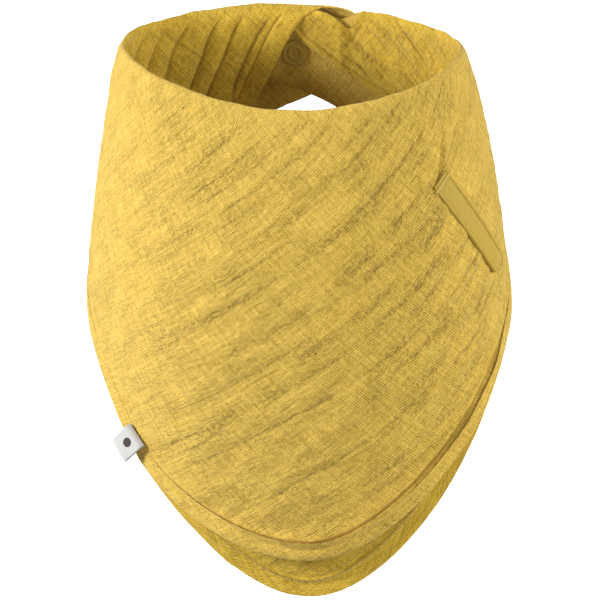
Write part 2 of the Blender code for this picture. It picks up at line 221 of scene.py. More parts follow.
def hem_stretch(hem, angle):
    """How much drop one metre square to the hem takes."""
    step = 0.01
    return np.hypot(1, (hem(angle + step) - hem(angle - step)) / (2 * step * CLOTH_RADIUS))


def facing_edge(drop):
    """Where the left lining's free diagonal edge lies, in radians from the back."""
    start, slope, curl, over = FACING_EDGE
    return start + slope * drop + curl * np.exp(-drop / over)


OUTER = Layer(1, hem_outer, 0.0)
LINING = Layer(-1, hem_lining, 0.31)


# ---------- crinkles, hems and folds

def perlin(x, y, seed):
    """Gradient noise, about -1 to 1, with features one unit apart."""
    rng = np.random.RandomState(seed)
    order = rng.permutation(256)
    turns = rng.uniform(0, TAU, 256)
    x, y = np.broadcast_arrays(np.asarray(x, float), np.asarray(y, float))
    ix, iy = np.floor(x).astype(int), np.floor(y).astype(int)
    fx, fy = x - ix, y - iy

    def corner(dx, dy):
        turn = turns[order[(order[(ix + dx) & 255] + iy + dy) & 255]]
        return np.cos(turn) * (fx - dx) + np.sin(turn) * (fy - dy)

    sx, sy = fx ** 3 * (fx * (fx * 6 - 15) + 10), fy ** 3 * (fy * (fy * 6 - 15) + 10)
    low, high = [corner(0, dy) * (1 - sx) + corner(1, dy) * sx for dy in (0, 1)]
    return (low * (1 - sy) + high * sy) * 1.5


CREASE_ANGLE = math.radians(37)
GRAIN_REACH = 0.110
GRAIN_BEND = (2.1, 1.9)               # how the creases curve, left and right of the middle
NOISES = {                            # length along the creases, length across them, seed
    "wander": (0.014, 0.014, 3), "shiver": (0.0032, 0.005, 5), "drift": (0.018, 0.021, 4),
    "long": (0.170, 0.0078, 11), "small": (0.050, 0.0040, 12), "cross": (0.0068, 0.070, 13),
    "long_patches": (0.024, 0.0085, 15), "small_patches": (0.014, 0.008, 16),
    "cross_patches": (0.0085, 0.018, 19), "swell": (0.036, 0.0095, 14),
    "pebble": (0.0042, 0.0042, 17), "drape": (0.055, 0.070, 21)}
FOLD_HEIGHTS = (0.00074, 0.00034, 0.00036)
FOLD_WIDTHS = (0.30, 0.30, 0.28)
CRINKLE_MIDDLE = 0.0007               # the crinkles' usual height, which lies on the layer's face


def noise_at(name, along, across):
    length, width, seed = NOISES[name]
    return perlin(along / length, across / width, seed)


# where each starts, and over how far it comes in: metres along the neck, or degrees round from the front
CALM_LEFT, CALM_RIGHT, CALM_ENDS = (0.030, 0.050), (0.078, 0.035), (0.150, 0.030)
SEAM_FRONT, SEAM_FRONT_ENDS, SEAM_BACK = (-22, 24), (56, 14), (108, 20)
FLARE_FRONT, FLARE_FRONT_ENDS = (-44, 30), (45, 25)
HEM_FLARE = 0.0024
HEM_FLARE_REACH = 0.015
HEM_LIFT = 0.00060
HEM_GROOVE = 0.00080
HEM_GROOVE_WIDTH = 0.00075
PLEATS_START, PLEATS_END = (0.009, 0.004), (0.066, 0.030)
PLEAT_SPACING = 0.0118
PLEAT_DEPTH = 0.0019
PLEAT_SHADE = 0.85
PLEAT_LINE = 0.24                     # the painted shade line's width in each pleat's valley, as a share of a pleat
SNAP_DIP = 0.0004
SNAP_DIP_WIDTH = 0.008


def calm(u):
    """The share of the crinkles left where the cloth is drawn smooth round the sides."""
    drawn = 0.62 * rising(-u, *CALM_LEFT) + 0.50 * rising(u, *CALM_RIGHT)
    return 1 - drawn * (1 - rising(np.abs(u), *CALM_ENDS))


def crinkle(u, v):
    """The muslin's crinkles: their height, three signed fields whose zero lines are creases, and how strong
    each is."""
    bend = pick(u, GRAIN_BEND) * GRAIN_REACH ** 2 * (1 - np.exp(-(u / GRAIN_REACH) ** 2))
    along = u * math.cos(CREASE_ANGLE) - v * math.sin(CREASE_ANGLE)
    across = (u * math.tan(CREASE_ANGLE) + v - bend) * math.cos(CREASE_ANGLE)
    across = across + 0.0007 * noise_at("wander", along, across)
    across = across + 0.00032 * noise_at("shiver", along, across)
    along = along + 0.0010 * noise_at("drift", along, across)
    fields = [noise_at(name, along, across) for name in ("long", "small", "cross")]
    where = smooth(0.60 + 1.1 * noise_at("long_patches", along, across))
    minor = smooth(0.42 + 1.2 * noise_at("small_patches", along, across))
    cross = smooth(0.40 + 4.0 * u + 1.6 * (v - 0.08))
    cross = cross * smooth(0.5 + 1.2 * noise_at("cross_patches", along, across))
    shares = (0.25 + 0.75 * where, 0.3 + 0.7 * minor, cross)
    height = 0.0
    for field, size, width, share in zip(fields, FOLD_HEIGHTS, FOLD_WIDTHS, shares):
        height = height + size * (1 - np.exp(-np.abs(field) / width)) * share
    height += 0.00046 * noise_at("swell", along, across)
    height += 0.00026 * noise_at("pebble", u, v)
    kept = calm(u)
    strength = np.stack([where, minor, cross], -1) * kept[..., None]
    return (height - CRINKLE_MIDDLE) * (0.25 + 0.75 * kept), np.stack(fields, -1), strength


def seam_depth(angle):
    """The hem's groove is pressed deep at the front, and faint round the sides."""
    turn = np.degrees(angle)
    front = rising(turn, *SEAM_FRONT) * (1 - rising(turn, *SEAM_FRONT_ENDS))
    return 0.12 + 0.88 * front + 0.5 * rising(np.abs(turn), *SEAM_BACK)


def hem_flare(angle, inset):
    """The front's foot stands away from the lining a little."""
    turn = np.degrees(angle)
    share = rising(turn, *FLARE_FRONT) * (1 - rising(turn, *FLARE_FRONT_ENDS))
    return HEM_FLARE * (1 - smooth(inset / HEM_FLARE_REACH)) * share


def hem_shape(inset, run, width=HEM_WIDTH):
    """Lift of a sewn hem, and the share of the crinkles that it keeps, by the distance in from its edge."""
    band = np.clip(inset / width, 0, 1)
    lift = HEM_LIFT * np.sin(math.pi * band ** 0.85) - HEM_GROOVE * bump(inset - width, HEM_GROOVE_WIDTH)
    pucker = 0.00030 * perlin(run / 0.0042, 0.3, 41) + 0.00025 * perlin(run / 0.011, 0.3, 42)
    lift = lift + pucker * bump(inset - width - 0.0012, 0.0038) * calm(run)
    keep = 0.30 + 0.70 * smooth((inset - width) / 0.004)
    return lift, keep


def drape_wave(angle, drop):
    """Slow waves that both layers share."""
    return 0.0012 * noise_at("drape", angle * CLOTH_RADIUS, drop) * smooth(drop / 0.03)


def neck_wave(angle):
    """The soft neck fold isn't quite even."""
    run = np.asarray(angle) * CLOTH_RADIUS
    return 0.0006 * perlin(run / 0.022, 0.5, 31) + 0.0004 * perlin(run / 0.009, 7.5, 32)


PULL_START, PULL_END = (0.0645, 0.0375), (0.0745, 0.0170)
SOOTHER_SHADOW_GAP = 0.0002                 # how far outside the soother strap the painted shadow line lies


def pull_fold(angle, drop):
    """The fold that the soother strap's sewn end pulls in the front: its height, and painted shade in its
    valley, joined with the painted shadow beside the soother strap.
    """
    size = math.dist(PULL_START, PULL_END)
    du, dv = [(end - start) / size for start, end in zip(PULL_START, PULL_END)]
    u, v = angle * CLOTH_RADIUS - PULL_START[0], drop - PULL_START[1]
    along, across = u * du + v * dv, v * du - u * dv
    fade = smooth((along + 0.002) / 0.004) * (1 - smooth((along - 0.4 * size) / (0.8 * size)))
    height = (0.0009 * bump(across - 0.0022, 0.0022) - 0.0010 * bump(across, 0.0010)) * fade
    return height, np.maximum(0.8 * bump(across, 0.0007) * fade, soother_painted_shadow(angle, drop))


def soother_painted_shadow(angle, drop):
    """Painted shadow on the front along the soother strap's outer edge and round its end, and painted shade
    at its sewn end.
    """
    u, v = (angle - SOOTHER_START[0]) * SOOTHER_RADIUS, drop - SOOTHER_START[1]
    along = (u * SOOTHER_REACH + v * SOOTHER_DOWN) / SOOTHER_LENGTH
    across = (u * SOOTHER_DOWN - v * SOOTHER_REACH) / SOOTHER_LENGTH
    half = SOOTHER_WIDTH / 2
    past = np.maximum(along - (SOOTHER_LENGTH - half), 0)
    edge = np.hypot(past, across) - half
    line = smooth((along / SOOTHER_LENGTH - 0.30) / 0.5) * smooth((across + 0.001) / 0.002)
    sewn_end_shade = 0.9 * bump(along + 0.0004, 0.0011) * bump(across, half * 0.9)
    return np.maximum(0.9 * bump(edge - SOOTHER_SHADOW_GAP, 0.0005) * line, sewn_end_shade)


def wing_pleats(angle, drop):
    """Soft pleats beside the left lining's free edge: height, painted shade in their valleys, and the share
    of the crinkles kept.
    """
    away = (from_back(angle) - facing_edge(drop)) * BACK_RADIUS * 0.84
    wave = away / PLEAT_SPACING + 0.30 * perlin(away / 0.024, drop / 0.030, 51)
    window = rising(away, *PLEATS_START) * (1 - rising(away, *PLEATS_END)) * smooth(drop / 0.010)
    fold = np.abs(np.sin(math.pi * wave))
    left = np.where(np.asarray(angle) < 0, 1.0, 0.0) * window
    shade = PLEAT_SHADE * bump(fold, PLEAT_LINE) * left
    return PLEAT_DEPTH * (fold ** 0.6 - 0.5) * left, shade, 1 - 0.55 * left


def snap_press(angle, drop):
    """How the cloth is pressed in round the snap at the back."""
    behind = pick(angle, (-from_back(angle), from_back(angle))) - (math.pi - SNAP_ANGLE)
    distance = np.hypot(behind * BACK_RADIUS, drop - SNAP_DROP)
    return -SNAP_DIP * bump(distance, SNAP_DIP_WIDTH)


def layer_lift(layer, angle):
    if layer.side > 0:
        return OUTER_LIFT + lap(angle, LAP_OUT)
    return LINING_LIFT + lap(angle, LAP_IN)


def face(layer, angle, drop, inset=None, width=HEM_WIDTH, plain=False):
    """A point of a layer's visible face, and its creases: a painted-shade share, the signed fields and their
    strengths. A plain face has no crinkles, hem or creases."""
    angle, drop = np.broadcast_arrays(np.asarray(angle, float), np.asarray(drop, float))
    outer, lining = layer_lift(OUTER, angle), layer_lift(LINING, angle)
    crest = 0.5 * (outer + lining)
    depth = FOLD_DEPTH + 0.4 * (outer - lining - OUTER_LIFT + LINING_LIFT)
    roll = np.sqrt(1 - (1 - np.clip(drop / depth, 0, 1)) ** 2)
    lift = crest + (layer_lift(layer, angle) - crest) * roll
    marks = None
    if not plain:
        if inset is None:
            inset = (layer.hem(angle) - drop) / hem_stretch(layer.hem, angle)
        relief, marks = face_relief(layer, angle, drop, inset, width)
        lift = lift + layer.side * relief
    lift = lift + drape_wave(angle, drop) + layer.side * snap_press(angle, drop)
    points = cloth_point(angle, drop, lift)
    points[..., 2] += neck_wave(angle) * (1 - smooth(drop / 0.02))
    return points, marks


def face_relief(layer, angle, drop, inset, width):
    """How high a layer's crinkles, hem and folds stand over its plain face, and the creases with them, with
    the painted shade of the hem's groove and of the folds.
    """
    settled = smooth(drop / 0.007)
    height, fields, strength = crinkle(angle * CLOTH_RADIUS, drop + layer.seed)
    band, keep = hem_shape(inset, angle * CLOTH_RADIUS, width)
    # painted shade in the hem's stitched groove, deepest at the front
    crease_shade = 0.9 * bump(inset - width, 0.00050) * settled * seam_depth(angle)
    band = band * (0.3 + 0.7 * seam_depth(angle))
    height = height * keep * (0.35 + 0.65 * settled) * smooth(drop / 0.002) + band * settled
    if layer.side > 0:
        extra, mark = pull_fold(angle, drop)
        height = height + extra + hem_flare(angle, inset)
    else:
        extra, mark, kept = wing_pleats(angle, drop)
        height = height * kept + extra
        strength = strength * kept[..., None]
    crease_shade = np.maximum(crease_shade, mark)
    strength = strength * (keep * settled)[..., None]
    return height, np.concatenate([crease_shade[..., None], fields, strength], -1)


# ---------- mesh helpers

Grid = namedtuple("Grid", "points uv marks normals")


def grid_normals(points, side):
    """Normals on the visible side, from the columns (along the neck) and rows (down)."""
    return side * unit(np.cross(np.gradient(points, axis=1), np.gradient(points, axis=0)))


def cloth_grid(layer, angle, drop, inset=None, width=HEM_WIDTH):
    points, marks = face(layer, angle, drop, inset, width)
    plain, _ = face(layer, angle, drop, plain=True)
    uv = np.stack([angle * CLOTH_RADIUS, drop + layer.seed], -1)
    return Grid(points, uv, marks, grid_normals(points, layer.side)), grid_normals(plain, layer.side)


def swap(grid):
    return Grid(*[np.swapaxes(a, 0, 1) for a in grid])


def quiet(marks):
    """The same creases with no painted shade and no strength."""
    still = marks.copy()
    still[..., 0] = 0
    still[..., 4:] = 0
    return still


def evened(vectors, reach=6):
    """Directions averaged with their neighbours' along a row."""
    padded = np.concatenate([np.repeat(vectors[:1], reach, 0), vectors, np.repeat(vectors[-1:], reach, 0)])
    share = np.hanning(2 * reach + 3)[1:-1]
    return unit(np.stack([np.convolve(padded[:, k], share, "valid") for k in range(3)], -1))


def run_length(points):
    """How far along a path each of its points lies."""
    return np.concatenate([[0], np.cumsum(np.linalg.norm(np.diff(points, axis=0), axis=-1))])


def along_path(at, run, values):
    """A path's values at given lengths along it."""
    return np.stack([np.interp(at, run, values[:, k]) for k in range(values.shape[1])], -1)


TURN_STEPS = 7


def turned_in(grid, reach, flat_from=None):
    """Adds rows that roll the last row over and run back behind it."""
    edge, before = grid.points[:, -1], grid.points[:, -6]
    front = slice(None, flat_from)
    out = evened(unit(edge - before)[front])
    inward = -evened(unit(grid.normals[:, -1] + grid.normals[:, -4] + grid.normals[:, -7])[front])
    inward = unit(inward - out * np.sum(inward * out, -1, keepdims=True))
    held = np.minimum(np.arange(len(edge)), len(out) - 1)
    out, inward = out[held], inward[held]
    half = CLOTH_THICK / 2
    points = [edge + inward * half * (1 - math.cos(turn)) + out * half * math.sin(turn)
              for turn in np.linspace(0, math.pi, TURN_STEPS)[1:]]
    backs = np.linspace(0, reach, TURN_STEPS)[1:]
    points += [edge + inward * CLOTH_THICK * (1 - 0.4 * (back / reach) ** 2) - out * back for back in backs]
    count = len(points)
    step = unit(grid.uv[:, -1] - grid.uv[:, -2])
    uv = [grid.uv[:, -1] + step * (0.001 + back) for back in [0.0] * (TURN_STEPS - 1) + list(backs)]
    added = (np.stack(points, 1), np.stack(uv, 1), np.repeat(quiet(grid.marks[:, -1:]), count, 1),
             np.repeat(-grid.normals[:, -1:], count, 1))
    return Grid(*[np.concatenate(pair, 1) for pair in zip(grid, added)])


def grid_faces(columns, rows, flip=False, closed=False):
    """Quads over a grid of points; a closed grid's last row joins its first."""
    last = rows if closed else rows - 1
    c, r = np.meshgrid(np.arange(columns - 1), np.arange(last), indexing="ij")
    below = (r + 1) % rows
    corners = [c * rows + r, c * rows + below, (c + 1) * rows + below, (c + 1) * rows + r]
    quads = np.stack(corners, -1).reshape(-1, 4)
    return (quads[:, ::-1] if flip else quads).tolist()


def ring_faces(rings, sides, first=0):
    """Quads between rings of points that start at a given index."""
    return [(first + a, first + b, first + c, first + d)
            for a, b, c, d in grid_faces(rings, sides, closed=True)]


def make_mesh(name, points, faces, material, uv=None, marks=None):
    """A smooth mesh with the cloth's own coordinates in metres, and its creases and painted shade for the
    material.
    """
    mesh = bpy.data.meshes.new(name)
    mesh.from_pydata(np.asarray(points, float).reshape(-1, 3).tolist(), [], faces)
    if uv is not None:
        layer = mesh.uv_layers.new(name="Cloth")
        corner = np.empty(len(mesh.loops), np.int32)
        mesh.loops.foreach_get("vertex_index", corner)
        layer.data.foreach_set("uv", np.asarray(uv, np.float32).reshape(-1, 2)[corner].ravel())
    if marks is not None:
        marks = np.asarray(marks, np.float32).reshape(-1, 7)
        for mark, kind, slot, first, last in (("painted_shade", "FLOAT", "value", 0, 1),
                                              ("folds", "FLOAT_VECTOR", "vector", 1, 4),
                                              ("fold_strength", "FLOAT_VECTOR", "vector", 4, 7)):
            attribute = mesh.attributes.new(mark, kind, "POINT")
            attribute.data.foreach_set(slot, marks[:, first:last].ravel())
    mesh.materials.append(material)
    mesh.shade_smooth()
    piece = bpy.data.objects.new(name, mesh)
    bpy.context.scene.collection.objects.link(piece)
    return piece


def grid_piece(name, grid, side, material):
    faces = grid_faces(*grid.points.shape[:2], side < 0)
    return make_mesh(name, grid.points, faces, material, grid.uv, grid.marks)


def keep_normals(piece, shape, columns, normals):
    """Holds the shading normals of whole columns, so that two pieces meet with no visible line."""
    kept = np.zeros(shape)
    for column, values in zip(columns, normals):
        kept[column, :len(values)] = values
    piece.data.normals_split_custom_set_from_vertices(kept.reshape(-1, 3).tolist())


def column_angles(first, last, spacing):
    return np.linspace(first, last, int(round(abs(last - first) * CLOTH_RADIUS / spacing)) + 1)


def drop_rows(top, foot, count, band=0.0115, band_rows=24):
    """Drops from top to foot for every column: fine over the fold and over the hem."""
    top, foot = np.broadcast_arrays(np.asarray(top, float), np.asarray(foot, float))
    over = FOLD_DEPTH * (1 - np.cos(np.linspace(0, math.pi / 2, 8)[:-1]))
    band = np.minimum(band, (foot - top) * 0.35)
    low, high = top + over[-1] + 0.0006, foot - band
    middle = low[:, None] + (high - low)[:, None] * np.linspace(0, 1, count)[None, :-1]
    hem = high[:, None] + band[:, None] * (1 - (1 - np.linspace(0, 1, band_rows)) ** 1.15)[None, :]
    return np.concatenate([top[:, None] + over[None, :], middle, hem], 1)


def turned_points(profile, segments):
    """A lathe: rows of (radius, height) round +Z."""
    turns = [TAU * k / segments for k in range(segments)]
    points = [(radius * math.cos(turn), radius * math.sin(turn), height)
              for radius, height in profile for turn in turns]
    return points, ring_faces(len(profile), segments)


# a stitch's outline: its thickness, by the place along it from -1 to 1
STITCH = [(0.25, -1.0), (0.72, -0.84), (1.0, -0.5), (1.05, 0.0), (1.0, 0.5), (0.72, 0.84), (0.25, 1.0)]
STITCH_SIDES = 8
STITCH_ARCH = 0.00016
STITCH_SINK = 0.00008


def stitches(name, route, normals, body, node_name, length=0.0022, gap=0.0009, radius=0.00020):
    """A row of short raised stitches laid along a route."""
    run = run_length(route)
    points, faces, place = [], [], gap
    while place + length < run[-1]:
        start, middle, end = [along_path(place + length * share, run, route) for share in (0, 0.5, 1)]
        up = unit(along_path(place + length / 2, run, normals))
        along = unit(end - start)
        side = unit(np.cross(along, up))
        first = len(points)
        for size, reach in STITCH:
            arch = (1 - reach ** 2) * STITCH_ARCH - STITCH_SINK
            for k in range(STITCH_SIDES):
                turn = TAU * k / STITCH_SIDES
                across = side * math.cos(turn) * radius * size
                rise = up * (math.sin(turn) * radius * size * 0.9 + arch)
                points.append(middle + along * reach * length / 2 + across + rise)
        faces += ring_faces(len(STITCH), STITCH_SIDES, first)
        faces.append(tuple(range(first, first + STITCH_SIDES))[::-1])
        faces.append(tuple(range(len(points) - STITCH_SIDES, len(points))))
        place += length + gap
    piece = make_mesh(name, points, faces, THREAD)
    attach(piece, body)
    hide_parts(node_name)


# ---------- materials

def set_inputs(thing, values):
    for key, value in values.items():
        thing.inputs[key].default_value = value


def new_material(name, inputs):
    made = bpy.data.materials.new(name)
    made.use_nodes = True
    shader = made.node_tree.nodes["Principled BSDF"]
    set_inputs(shader, inputs)
    return made, made.node_tree, shader


def node(tree, kind, **settings):
    made = tree.nodes.new(kind)
    for key, value in settings.items():
        if key in made.inputs:
            made.inputs[key].default_value = value
        else:
            setattr(made, key, value)
    return made


def math_node(tree, operation, a, b=None, clamp=False):
    made = node(tree, "ShaderNodeMath", operation=operation, use_clamp=clamp)
    for slot, value in enumerate((a, b)):
        if isinstance(value, (int, float)):
            made.inputs[slot].default_value = value
        elif value is not None:
            tree.links.new(value, made.inputs[slot])
    return made.outputs[0]


def mix_colour(tree, factor, a, b):
    made = node(tree, "ShaderNodeMix", data_type="RGBA")
    for slot, value in ((0, factor), (6, a), (7, b)):
        if isinstance(value, tuple):
            made.inputs[slot].default_value = (*value, 1.0)
        else:
            tree.links.new(value, made.inputs[slot])
    return made.outputs[2]


def scaled(tree, vector, scale):
    made = node(tree, "ShaderNodeMapping", Scale=scale)
    tree.links.new(vector, made.inputs[0])
    return made.outputs[0]


def flat_noise(tree, vector, scale, detail=2.0, rough=0.5):
    made = node(tree, "ShaderNodeTexNoise", Scale=scale, Detail=detail, Roughness=rough)
    made.noise_dimensions = "2D"
    tree.links.new(vector, made.inputs["Vector"])
    return made.outputs[0]


def raise_bump(tree, shader, height, strength, distance):
    made = node(tree, "ShaderNodeBump", Strength=strength, Distance=distance)
    tree.links.new(height, made.inputs["Height"])
    tree.links.new(made.outputs[0], shader.inputs["Normal"])


def cloth_uv(tree):
    return node(tree, "ShaderNodeUVMap", uv_map="Cloth").outputs[0]


THREAD_SPACING = (0.87, 0.98)         # millimetres, along the creases and across them
THREAD_SHARES = (0.76, 0.24)
WEAVE_TURN = math.radians(41)
WEAVE_CONTRAST = 0.72
FOLD_LINES = ((0.180, 0.95), (0.210, 0.55), (0.190, 0.50))  # each fold field's line width, and the darkness of the painted shade along it
TONE_ENDS = (1.20 + 0.38 * WEAVE_CONTRAST, 1.64 + 0.62 * WEAVE_CONTRAST)
TONE_PAST = 0.25                      # how far the tone may pass the deep and light colours
CREASE_SHADE_TINT = (0.58, 0.53, 0.40)        # the colour of the painted shade in the darkest crease, from the deep colour


def muslin_material(name, light, deep):
    """Crinkled cotton gauze: a plain weave on the bias, slubs, and creases darkened with painted shade."""
    made, tree, shader = new_material(name, {
        "Roughness": 0.92, "Sheen Weight": 0.12, "Sheen Roughness": 0.5, "Specular IOR Level": 0.12})
    turned = node(tree, "ShaderNodeMapping", Rotation=(0, 0, WEAVE_TURN), Scale=(1000, 1000, 1000))
    tree.links.new(cloth_uv(tree), turned.inputs[0])
    grain = turned.outputs[0]

    def joined(operation, *values):
        total = values[0]
        for value in values[1:]:
            total = math_node(tree, operation, total, value)
        return total

    def times(*values):
        return joined("MULTIPLY", *values)

    def plus(*values):
        return joined("ADD", *values)

    def noise(scale, detail=2.0, rough=0.5):
        return flat_noise(tree, grain, scale, detail, rough)

    def stretched(x, y):
        return flat_noise(tree, scaled(tree, grain, (x, y, 1)), 1.0)

    def centred(value):
        return joined("SUBTRACT", value, 0.5)

    def ranged(value, low, high, way="SMOOTHSTEP", clamp=True):
        made_range = node(tree, "ShaderNodeMapRange", interpolation_type=way, clamp=clamp)
        set_inputs(made_range, {"From Min": low, "From Max": high})
        tree.links.new(value, made_range.inputs[0])
        return made_range.outputs[0]

    def dashes(x, y):
        """Short broken valleys: one where the noise crosses its middle. They darken the colour as painted
        shade and sink the bump.
        """
        return ranged(math_node(tree, "ABSOLUTE", centred(stretched(x, y))), 0.085, 0.0)

    def attribute(name, socket):
        return node(tree, "ShaderNodeAttribute", attribute_name=name).outputs[socket]

    def parts(name):
        split = node(tree, "ShaderNodeSeparateXYZ")
        tree.links.new(attribute(name, "Vector"), split.inputs[0])
        return split.outputs

    threads = []
    for direction, period in zip("XY", THREAD_SPACING):
        wave = node(tree, "ShaderNodeTexWave", Scale=TAU / 20 / period, Distortion=4.2, Detail=2.0,
                    bands_direction=direction)
        set_inputs(wave, {"Detail Scale": 0.35})
        tree.links.new(grain, wave.inputs["Vector"])
        threads.append(wave.outputs["Fac"])
    fields, strengths = parts("folds"), parts("fold_strength")
    patchy = plus(0.25, times(noise(0.16), 1.1))
    patchy = times(patchy, plus(0.60, times(strengths[0], 0.45)))
    weave = plus(times(threads[0], THREAD_SHARES[0]), times(threads[1], THREAD_SHARES[1]))
    weave = plus(0.5, times(centred(weave), patchy))
    slubs = plus(stretched(0.9, 0.07), stretched(0.07, 0.9))
    fine, pebble, blotch = noise(1.8, 3.0, 0.70), noise(0.42, 2.0, 0.6), noise(0.09)

    broken = ranged(noise(0.62), 0.42, 0.58)
    wobble = times(centred(noise(0.75)), 0.36)
    lines = []
    for field, strength, (width, weight) in zip(fields, strengths, FOLD_LINES):
        near = ranged(math_node(tree, "ABSOLUTE", plus(field, wobble)), width, 0.0)
        lines.append(times(near, strength, weight))
    thin = times(joined("MAXIMUM", *lines), plus(times(broken, 0.85), 0.15))
    dashed = plus(times(dashes(0.13, 0.55), 0.75), times(dashes(0.50, 0.15), 0.40))
    dashed = times(dashed, plus(0.30, times(strengths[0], 0.70)))
    # painted shade: the crease lines, the noise dashes and the mesh's painted-shade share darken the colour
    # below
    dark = joined("MAXIMUM", plus(times(thin, 0.72), times(dashed, 0.32)), attribute("painted_shade", "Fac"))

    tone = plus(plus(times(slubs, 0.50), times(fine, 1.40)), plus(times(pebble, 0.42), times(blotch, 0.24)))
    tone = ranged(plus(tone, times(weave, WEAVE_CONTRAST)), *TONE_ENDS, "LINEAR", False)
    tone = joined("MINIMUM", joined("MAXIMUM", tone, -TONE_PAST), 1 + TONE_PAST)
    colour = mix_colour(tree, ranged(tone, -TONE_PAST, 1 + TONE_PAST, "LINEAR"), deep, light)
    shade = math_node(tree, "MULTIPLY", dark, 0.62, clamp=True)
    colour = mix_colour(tree, shade, colour, tuple(c * tint for c, tint in zip(deep, CREASE_SHADE_TINT)))
    tree.links.new(colour, shader.inputs["Base Color"])

    height = plus(plus(times(weave, 0.16), times(slubs, 0.10)), plus(times(fine, 0.24), times(pebble, 0.50)))
    height = joined("SUBTRACT", height, plus(times(thin, 0.42), times(dashed, 0.26)))
    raise_bump(tree, shader, height, 1.0, 0.0011)
    return made


def plain_material(name, pattern, dark, light, inputs, relief=None):
    """A small part's material: two colours mixed by a pattern, which relief raises as a bump."""
    made, tree, shader = new_material(name, inputs)
    value = pattern(tree)
    tree.links.new(mix_colour(tree, value, dark, light), shader.inputs["Base Color"])
    if relief:
        raise_bump(tree, shader, value, *relief)
    return made


def satin_pattern(tree):
    return flat_noise(tree, scaled(tree, cloth_uv(tree), (2600, 300, 1)), 1.0)


def speckle_pattern(scale, detail):
    """A fine noise through a solid part."""
    def pattern(tree):
        made = node(tree, "ShaderNodeTexNoise", Scale=scale, Detail=detail)
        tree.links.new(node(tree, "ShaderNodeTexCoord").outputs["Object"], made.inputs["Vector"])
        return made.outputs[0]
    return pattern


def rib_pattern(tree):
    """A woven ribbon's fine ribs, across it."""
    ribs = node(tree, "ShaderNodeTexWave", Scale=700.0, Distortion=0.6, bands_direction="Y")
    tree.links.new(cloth_uv(tree), ribs.inputs["Vector"])
    return ribs.outputs["Fac"]


MUSLIN = muslin_material("muslin_cloth", (0.88, 0.595, 0.118), (0.325, 0.193, 0.016))
# the lining: the same muslin, its colours darkened as painted shade
SHADED_LINING_MUSLIN = muslin_material("muslin_lining", (0.84, 0.556, 0.070), (0.265, 0.155, 0.007))
SATIN = plain_material("soother_satin", satin_pattern, (0.37, 0.240, 0.024), (0.49, 0.325, 0.046),
                       {"Roughness": 0.55, "Specular IOR Level": 0.22}, (0.12, 0.0002))
THREAD = plain_material("sewing_thread", speckle_pattern(3500.0, 2.0), (0.36, 0.23, 0.028),
                        (0.52, 0.345, 0.058), {"Roughness": 0.65, "Sheen Weight": 0.1})
SNAP = plain_material("snap_resin", speckle_pattern(900.0, 3.0), (0.30, 0.190, 0.020),
                      (0.39, 0.250, 0.032), {"Roughness": 0.45, "Specular IOR Level": 0.25}, (0.08, 0.0001))
RIBBON_INPUTS = {"Roughness": 0.8, "Specular IOR Level": 0.25}
RIBBON_RELIEF = (0.25, 0.0001)
LABEL = plain_material("label_ribbon_white", rib_pattern, (0.48, 0.47, 0.44), (0.56, 0.55, 0.52),
                       RIBBON_INPUTS, RIBBON_RELIEF)
LABEL_MARK = plain_material("label_mark_brown", rib_pattern, (0.035, 0.026, 0.024), (0.060, 0.045, 0.040),
                            RIBBON_INPUTS, RIBBON_RELIEF)


# ---------- the two cloth layers
MAIN_SPACING = 0.00105
SEAM_STEP = MAIN_SPACING / CLOTH_RADIUS
OUTER_ROWS = 165
LINING_ROWS = 150
FACING_COLUMNS = 110
FACING_HEM = 0.0088
EDGE_RIM = 0.0006                     # how far the lining's diagonal edge stands up
OVERLAP_SHADES = (0.30, 0.45)         # how dark the painted shadow on the lining below the outer layer is, and how much more on the right
OVERLAP_SHADE_COMES = (-8, 45)        # degrees round from the front
OVERLAP_EDGE = (-0.002, 0.002)
OVERLAP_REACH = 0.008
TURNED_IN = (0.0085, 0.0080)          # how deep the two layers' hems are, behind


def build_outer():
    angles = column_angles(-WING_ANGLE, WING_ANGLE, MAIN_SPACING)
    angles = np.concatenate([[-WING_ANGLE - SEAM_STEP], angles, [WING_ANGLE + SEAM_STEP]])
    drop = drop_rows(0.0, hem_outer(angles), OUTER_ROWS)
    rows = drop.shape[1]
    grid, _ = cloth_grid(OUTER, np.repeat(angles[:, None], rows, 1), drop)
    grid = turned_in(grid, TURNED_IN[0])
    grid = Grid(*[a[1:-1] for a in grid])
    piece = grid_piece("outer_cloth", grid, 1, MUSLIN)
    keep_normals(piece, grid.points.shape, (0, -1), grid.normals[[0, -1], :rows])
    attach(piece, "bib")
    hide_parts("outer_panel")


def paint_overlap_shadow(grid, angle, drop):
    """A painted shadow: the lining is darker just below the outer layer's edge, more so on the right."""
    rows = drop.shape[1]
    past_foot = np.linalg.norm(grid.uv[:, rows:] - grid.uv[:, rows - 1:rows], axis=-1)
    below = np.concatenate([drop - hem_outer(angle), layer_step(angle[:, -1:]) - past_foot], 1)
    share = OVERLAP_SHADES[0] + OVERLAP_SHADES[1] * rising(np.degrees(angle[:, -1:]), *OVERLAP_SHADE_COMES)
    shadow = share * rising(below, *OVERLAP_EDGE) * np.exp(-np.maximum(below, 0) / OVERLAP_REACH)
    grid.marks[..., 0] = np.maximum(grid.marks[..., 0], shadow)


def facing_columns(seam):
    """The angles and drops between the left wing's seam and the lining's free diagonal edge."""
    foot = 0.045
    for _ in range(6):
        foot = float(hem_lining(-(math.pi - facing_edge(foot))))
    edge = -(math.pi - facing_edge(drop_rows(0.0, np.array([foot]), LINING_ROWS)[0]))
    shares = 1 - (1 - np.linspace(0, 1, FACING_COLUMNS)) ** 1.12
    angle = seam + (edge - seam) * shares[1:, None]
    drop = drop_rows(0.0, hem_lining(angle[:, -1]), LINING_ROWS)
    return angle[::-1], drop[::-1]


